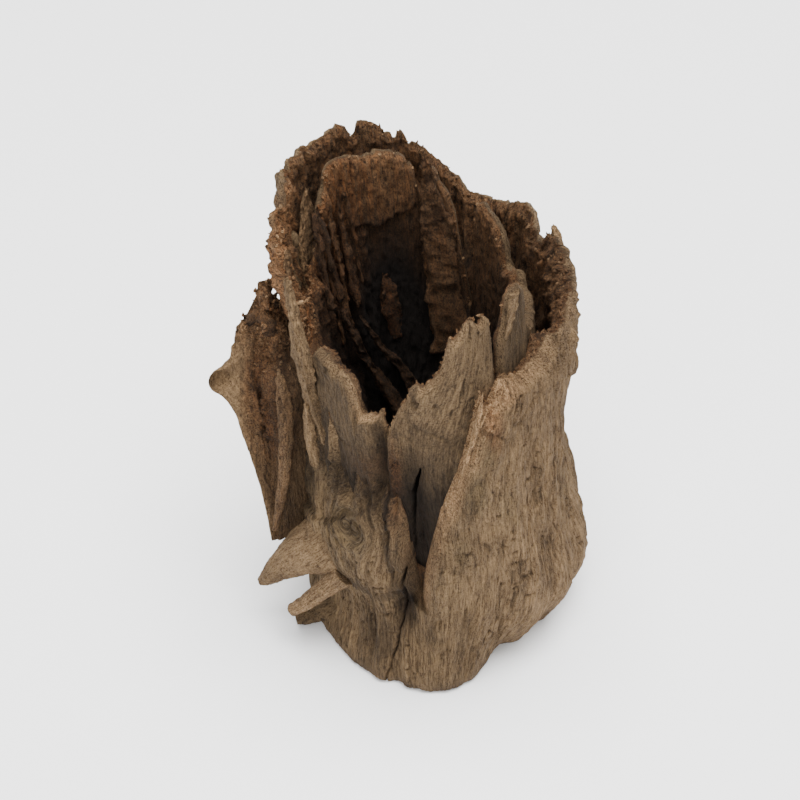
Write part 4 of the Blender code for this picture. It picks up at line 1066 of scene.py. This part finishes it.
def finGrid(name, sides=200, rows=150):
    # The fin: plan sections rounded to smooth rings and joined from one height to the next, stretched up to
    # its broken crest, pushed out round the knob and closed along its own middle line
    heights = np.array([height for height, _ in fin["sections"]], float)
    outline = np.array([points for _, points in fin["sections"]], float)
    count = outline.shape[1]
    at = np.linspace(0, count, sides, endpoint=False)
    start = at.astype(int)
    t = (at - start)[None, :, None]
    rings = cubic(*(outline[:, (start + k) % count] for k in (-1, 0, 1, 2)), t)
    level = np.linspace(heights[0], heights[-1], rows)
    below = np.clip(np.searchsorted(heights, level, side="right") - 1, 0, len(heights) - 2)
    share = ((level - heights[below]) / (heights[below + 1] - heights[below]))[:, None, None]
    plan = rings[below] * (1 - share) + rings[below + 1] * share
    place = at / count
    front = fin["frontShare"]
    opposite = np.where(place < front, 1 - place * (1 - front) / front, (1 - place) * front / (1 - front))
    spine = (plan[-1] + plan[-1][np.round(opposite * sides).astype(int) % sides]) / 2
    closing = np.linspace(0, math.pi / 2, fin["topRings"] + 1)[1:, None, None]
    inward = (1 - np.cos(closing)) * 0.9
    plan = np.concatenate((plan, plan[-1] * (1 - inward) + spine * inward))
    level = np.concatenate((level, level[-1] + fin["topRound"] * np.sin(closing[:, 0, 0])))
    tall = np.broadcast_to(level[:, None], plan.shape[:2])
    crest = np.interp(plan[..., 0], *np.array(fin["crest"]).T)
    crest = crest + 1.6 * noise(np.stack((plan[..., 0] / 1.3, plan[..., 1] / 1.3, 0 * tall), -1), 66)
    stretch = (crest - fin["topRound"] - fin["crestFrom"]) / (heights[-1] - fin["crestFrom"])
    tall = np.where(tall > fin["crestFrom"], fin["crestFrom"] + (tall - fin["crestFrom"]) * stretch, tall)
    points = np.concatenate((plan, tall[..., None]), -1)
    reach = points - np.array(fin["knob"])
    distance = np.linalg.norm(reach, axis=-1, keepdims=True)
    pushed = (distance**4 + fin["knobRadius"] ** 4) ** 0.25
    points = points + reach / np.maximum(distance, 1e-6) * (pushed - distance)
    points = points.transpose(1, 0, 2) + shift
    normal = surfaceNormals(points)
    place = place[:, None]
    hollowFace = hill((place - 0.25) * 5, 0.85)
    local = points - shift
    fromEdge = eased01((local[..., 0] + 76.5 - 0.12 * (local[..., 2] - 100)) / 5)
    upper = eased01((local[..., 2] - 112) / 12)
    lower = eased01((92 - local[..., 2]) / 26)
    rot = np.maximum(hollowFace * fromEdge * (0.95 - 0.6 * lower), upper * (0.5 + 0.5 * fromEdge))
    rot = np.clip(rot, 0, 1)
    relief, dark = weathering(points, rot, 0.3 + 0.5 * rot)
    crumbs = 0.5 * noise(points / 1.7, 37) + 0.35 * noise(points / 0.8, 38)
    points = points + normal * (relief * (0.25 + 0.75 * rot) + crumbs * rot)[..., None]
    gap = eased01((local[..., 0] + 64) / 5) * hollowFace
    # Painted shade on the fin's hollow face, its crest and the dark gap beside the trunk
    shade = 0.02 + 0.46 * hollowFace * (1 - upper) * fromEdge + 0.2 * upper + 0.75 * gap * (1 - 0.5 * upper)
    masks = dict(
        warm=0.85 - 0.5 * rot, rot=rot * 0.85, fresh=0.05 + 0.3 * rot * upper, rough=rot, shade=shade,
        pit=dark)
    full = {key: np.broadcast_to(value, rot.shape) for key, value in masks.items()}
    skins.append((points, -normal, full, rot * eased01((local[..., 2] - 104) / 16)))
    loopGrid(name, points, masks, points.copy(), faceIn=True)


finGrid("fin")
print("fin and stems")


# Crumbs of rotten wood and splinters on the broken edges

bits = dict(
    rot_crumbs=dict(count=1250, length=(0.6, 1.7), width=(0.3, 0.7), out=0.4, tumble=0.9, seed=21),
    edge_splinters=dict(count=240, length=(0.6, 1.3), width=(0.16, 0.3), out=0.2, tumble=0.35, seed=22),
)
spindle = dict(sides=5, along=(-0.3, 0.15, 0.6, 1.0), girth=(0.8, 1.0, 0.65, 0.15))


def scatterBits(name, row, weightOf):
    # Five-sided spindles set on the walls' and fin's skin, where a seeded draw weighted by weightOf falls;
    # they lean out of the skin and up the grain, and tumble at random
    draw = np.random.default_rng(row["seed"])
    points = np.concatenate([skin[0].reshape(-1, 3) for skin in skins])
    normals = np.concatenate([skin[1].reshape(-1, 3) for skin in skins])
    weights = np.concatenate([weightOf(skin).reshape(-1) for skin in skins])
    masks = {key: np.concatenate([skin[2][key].reshape(-1) for skin in skins]) for key in skins[0][2]}
    count, sides, rings = row["count"], spindle["sides"], len(spindle["along"])
    chosen = draw.choice(len(points), count, replace=False, p=weights / weights.sum())
    place, normal = points[chosen], normals[chosen]
    heading = np.array((0.0, 0.0, 1.0)) + row["out"] * normal + row["tumble"] * draw.normal(size=(count, 3))
    heading /= np.linalg.norm(heading, axis=1)[:, None]
    side = np.cross(heading, normal + 0.1 * draw.normal(size=(count, 3)))
    side /= np.maximum(np.linalg.norm(side, axis=1)[:, None], 1e-6)
    other = np.cross(heading, side)
    length = draw.uniform(*row["length"], count)[:, None, None, None]
    width = draw.uniform(*row["width"], count)[:, None, None, None]
    turn = np.linspace(0, 2 * math.pi, sides, endpoint=False)[None, None, :, None]
    girth = np.array(spindle["girth"])[None, :, None, None]
    girth = girth * draw.uniform(0.7, 1.3, (count, rings, sides, 1))
    ringSpot = side[:, None, None] * np.cos(turn) + other[:, None, None] * np.sin(turn)
    along = np.array(spindle["along"])[None, :, None, None]
    grid = place[:, None, None] + heading[:, None, None] * along * length + ringSpot * girth * width
    corner = np.arange(count * rings * sides).reshape(count, rings, sides)
    after = np.roll(corner, -1, axis=2)
    quads = np.stack((corner[:, :-1], after[:, :-1], after[:, 1:], corner[:, 1:]), -1).reshape(-1, 4)
    faces = quads.tolist() + corner[:, 0, ::-1].tolist() + corner[:, -1].tolist()
    repeated = {key: np.repeat(value[chosen], rings * sides) for key, value in masks.items()}
    repeated["fresh"] = np.repeat(draw.uniform(0, 1, count) ** 3, rings * sides) + 0.4 * repeated["fresh"]
    repeated["pit"] = 0 * repeated["pit"]
    # The bits keep most of the painted shade where they sit
    repeated["shade"] = repeated["shade"] * 0.8
    meshObject(name, grid.reshape(-1, 3), faces, len(faces), repeated, grid.reshape(-1, 3) * 1.7)


def crumbWeight(skin):
    # Rot squared, times the broken edge, growing over 14 mm from 98 mm up
    points, _, masks, edge = skin
    return masks["rot"] ** 2 * edge * eased01((points[..., 2] - 98) / 14)


def splinterWeight(skin):
    # The broken edge times its freshness squared, growing over 20 mm from 92 mm up
    points, _, masks, edge = skin
    return edge * (0.15 + masks["fresh"]) ** 2 * eased01((points[..., 2] - 92) / 20)


scatterBits("rot_crumbs", bits["rot_crumbs"], crumbWeight)
scatterBits("edge_splinters", bits["edge_splinters"], splinterWeight)
print("crumbs and splinters")


# Materials

def screenTone(red, green, blue):
    # A colour as it shows on screen, 0 to 255, in the linear values that a shader takes
    values = np.array((red, green, blue)) / 255
    linear = np.where(values <= 0.04045, values / 12.92, ((values + 0.055) / 1.055) ** 2.4)
    return (*[float(v) for v in linear], 1.0)


woodTones = dict(
    grey=screenTone(136, 113, 81), greyDark=screenTone(48, 36, 24),
    tan=screenTone(162, 132, 97), tanDark=screenTone(68, 50, 32),
    rot=screenTone(158, 100, 56), rotDark=screenTone(48, 27, 13),
    fresh=screenTone(178, 134, 92), freshPale=screenTone(212, 178, 136),
    # Last row: the painted shade's colour, and the colour of pits, cracks and specks, partly their own and
    # partly painted shade
    paintedShade=screenTone(20, 13, 8), pit=screenTone(27, 18, 11),
)
woodGrain = dict(
    fibre=(2.3, 2.3, 0.3),     # repeats for each mm across, across and along the grain
    streak=(0.8, 0.8, 0.07),
    grit=(1.9, 1.9, 1.5),
    patch=(0.085, 0.085, 0.05),
    crack=(0.55, 0.55, 0.11),
    speck=(1.7, 1.7, 0.8),
    stain=(0.22, 0.22, 0.035),
    bump=0.0008,
)


def woodMaterial(name):
    # Weathered wood: fibres, streaks and grit make one relief, with painted shade where it is low and lighter
    # where it is high, and the masks bring in rot, fresh breaks, painted shade, and pits darkened partly with
    # painted shade
    material = bpy.data.materials.new(name)
    material.use_nodes = True
    nodes, links = material.node_tree.nodes, material.node_tree.links
    shader = nodes["Principled BSDF"]
    shader.inputs["Metallic"].default_value = 0.0
    shader.inputs["Specular IOR Level"].default_value = 0.18

    def attribute(label):
        # A mask of the mesh, or its grain coordinates
        made = nodes.new("ShaderNodeAttribute")
        made.attribute_name = label
        return made.outputs["Vector" if label == "grain" else "Fac"]

    grain = attribute("grain")

    def noiseAt(kind, detail, roughness=0.6, distortion=0.0):
        # Noise over the grain coordinates, scaled as woodGrain says
        mapping = nodes.new("ShaderNodeMapping")
        mapping.inputs["Scale"].default_value = woodGrain[kind]
        links.new(grain, mapping.inputs["Vector"])
        made = nodes.new("ShaderNodeTexNoise")
        made.inputs["Scale"].default_value = 1.0
        made.inputs["Detail"].default_value = detail
        made.inputs["Roughness"].default_value = roughness
        made.inputs["Distortion"].default_value = distortion
        links.new(mapping.outputs["Vector"], made.inputs["Vector"])
        return made.outputs["Fac"]

    def spread(value, low, high, toLow=0.0, toHigh=1.0):
        # low to high stretched to toLow to toHigh, and held there beyond
        made = nodes.new("ShaderNodeMapRange")
        made.inputs["From Min"].default_value = low
        made.inputs["From Max"].default_value = high
        made.inputs["To Min"].default_value = toLow
        made.inputs["To Max"].default_value = toHigh
        links.new(value, made.inputs["Value"])
        return made.outputs["Result"]

    def combine(kind, first, second=0.0):
        # One sum or product of two values
        made = nodes.new("ShaderNodeMath")
        made.operation = kind
        for socket, value in zip(made.inputs, (first, second)):
            if isinstance(value, (int, float)):
                socket.default_value = value
            else:
                links.new(value, socket)
        return made.outputs["Value"]

    def colourMix(share, first, second):
        # first * (1 - share) + second * share
        made = nodes.new("ShaderNodeMix")
        made.data_type = "RGBA"
        sockets = [s for s in made.inputs if s.type == "RGBA"]
        factor = [s for s in made.inputs if s.type == "VALUE"][0]
        for socket, value in ((factor, share), (sockets[0], first), (sockets[1], second)):
            if isinstance(value, (tuple, float)):
                socket.default_value = value
            else:
                links.new(value, socket)
        return [s for s in made.outputs if s.type == "RGBA"][0]

    rough, pit, shade = attribute("rough"), attribute("pit"), attribute("shade")
    fibre = spread(noiseAt("fibre", 6.0, 0.72, 0.2), 0.34, 0.66)
    streak = spread(noiseAt("streak", 5.0, 0.65, 0.4), 0.34, 0.66)
    grit = spread(noiseAt("grit", 5.0, 0.75), 0.34, 0.66)
    stain = spread(noiseAt("stain", 4.0, 0.6, 0.5), 0.46, 0.7)
    patch = spread(noiseAt("patch", 4.0), 0.36, 0.64)
    speck = spread(noiseAt("speck", 4.0, 0.7), 0.57, 0.68)
    crackLine = combine("ABSOLUTE", combine("SUBTRACT", noiseAt("crack", 3.0, 0.6, 0.6), 0.5))
    crack = combine("MULTIPLY", spread(crackLine, 0.0, 0.014, 1.0, 0.0), spread(patch, 0.35, 0.75, 0.1, 0.9))

    # The relief, 0 low to 1 high: fibres and streaks give way to grit where the wood is rough
    lines = combine("ADD", combine("MULTIPLY", fibre, 0.6), combine("MULTIPLY", streak, 0.4))
    mixed = nodes.new("ShaderNodeMix")
    mixed.data_type = "FLOAT"
    values = [s for s in mixed.inputs if s.type == "VALUE"]
    links.new(spread(rough, 0.0, 1.0, 0.25, 0.8), values[0])
    links.new(lines, values[1])
    links.new(grit, values[2])
    relief = [s for s in mixed.outputs if s.type == "VALUE"][0]

    warm = attribute("warm")
    light = colourMix(warm, woodTones["grey"], woodTones["tan"])
    dark = colourMix(warm, woodTones["greyDark"], woodTones["tanDark"])
    # Painted shade where the relief is low: the low fibres and grit take the dark tones as if shadowed
    wood = colourMix(spread(relief, 0.18, 0.72), dark, light)
    wood = colourMix(combine("MULTIPLY", combine("MAXIMUM", patch, stain), 0.34), wood, dark)
    # The rotten wood likewise gets painted shade where its relief is low
    rotWood = colourMix(spread(relief, 0.2, 0.8), woodTones["rotDark"], woodTones["rot"])
    rotShare = combine("MULTIPLY", attribute("rot"), spread(streak, 0.0, 0.8, 0.45, 1.0))
    wood = colourMix(rotShare, wood, rotWood)
    freshWood = colourMix(fibre, woodTones["fresh"], woodTones["freshPale"])
    freshShare = combine("MULTIPLY", attribute("fresh"), spread(grit, 0.2, 0.75, 0.1, 1.0))
    wood = colourMix(freshShare, wood, freshWood)
    # Painted shade in the specks, and dark cracks and pits, partly their own colour and partly painted shade
    wood = colourMix(combine("MULTIPLY", speck, spread(rough, 0.0, 1.0, 0.45, 0.95)), wood, woodTones["pit"])
    wood = colourMix(combine("MULTIPLY", crack, 0.6), wood, woodTones["pit"])
    wood = colourMix(combine("MULTIPLY", pit, 0.7), wood, woodTones["pit"])
    # Painted shade: the shade mask darkens the wood towards the painted shade colour
    wood = colourMix(shade, wood, woodTones["paintedShade"])
    links.new(wood, shader.inputs["Base Color"])
    links.new(spread(fibre, 0.0, 1.0, 0.95, 0.8), shader.inputs["Roughness"])

    height = combine("SUBTRACT", relief, combine("MULTIPLY", speck, 0.5))
    height = combine("SUBTRACT", height, combine("MULTIPLY", crack, 0.7))
    bump = nodes.new("ShaderNodeBump")
    bump.inputs["Strength"].default_value = 1.0
    bump.inputs["Distance"].default_value = woodGrain["bump"]
    links.new(height, bump.inputs["Height"])
    links.new(bump.outputs["Normal"], shader.inputs["Normal"])
    return material


wood = woodMaterial("weathered_wood")
for piece in pieces:
    piece.data.materials.append(wood)
    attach(piece, "root")
    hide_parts("driftwood_stump")
print("pieces", len(pieces), "faces", sum(len(piece.data.polygons) for piece in pieces))


# The floor, the light and the camera

studio = dict(
    floorTone=screenTone(247, 247, 247),
    worldTone=screenTone(228, 229, 229),
    worldStrength=0.72,
    lamps=(
        dict(name="top_softbox", place=(0.15, 0.0, 2.0), target=(0, 0, 0.08), size=1.5, power=132.0),
        dict(name="front_fill", place=(-0.3, -1.3, 1.4), target=(0, 0, 0.08), size=1.2, power=20.0),
    ),
)
camera = dict(place=(-0.00382, -0.45661, 0.5515), pitch=45.0, lens=85.0, sensor=36.0)

bpy.ops.mesh.primitive_plane_add(size=8)
floor = bpy.context.object
floor.name = "floor"
paper = bpy.data.materials.new("studio_paper")
paper.use_nodes = True
paper.node_tree.nodes["Principled BSDF"].inputs["Base Color"].default_value = studio["floorTone"]
paper.node_tree.nodes["Principled BSDF"].inputs["Roughness"].default_value = 0.9
floor.data.materials.append(paper)

for lamp in studio["lamps"]:
    light = bpy.data.lights.new(lamp["name"], "AREA")
    light.energy = lamp["power"]
    light.size = lamp["size"]
    lit = bpy.data.objects.new(lamp["name"], light)
    bpy.context.scene.collection.objects.link(lit)
    lit.location = lamp["place"]
    lit.rotation_euler = (Vector(lamp["target"]) - Vector(lamp["place"])).to_track_quat("-Z", "Y").to_euler()

world = bpy.data.worlds.new("studio")
world.use_nodes = True
world.node_tree.nodes["Background"].inputs["Color"].default_value = studio["worldTone"]
world.node_tree.nodes["Background"].inputs["Strength"].default_value = studio["worldStrength"]
bpy.context.scene.world = world

lens = bpy.data.cameras.new("camera")
lens.lens = camera["lens"]
lens.sensor_width = camera["sensor"]
eye = bpy.data.objects.new("camera", lens)
bpy.context.scene.collection.objects.link(eye)
eye.location = camera["place"]
eye.rotation_euler = (math.radians(camera["pitch"]), 0, 0)
bpy.context.scene.camera = eye
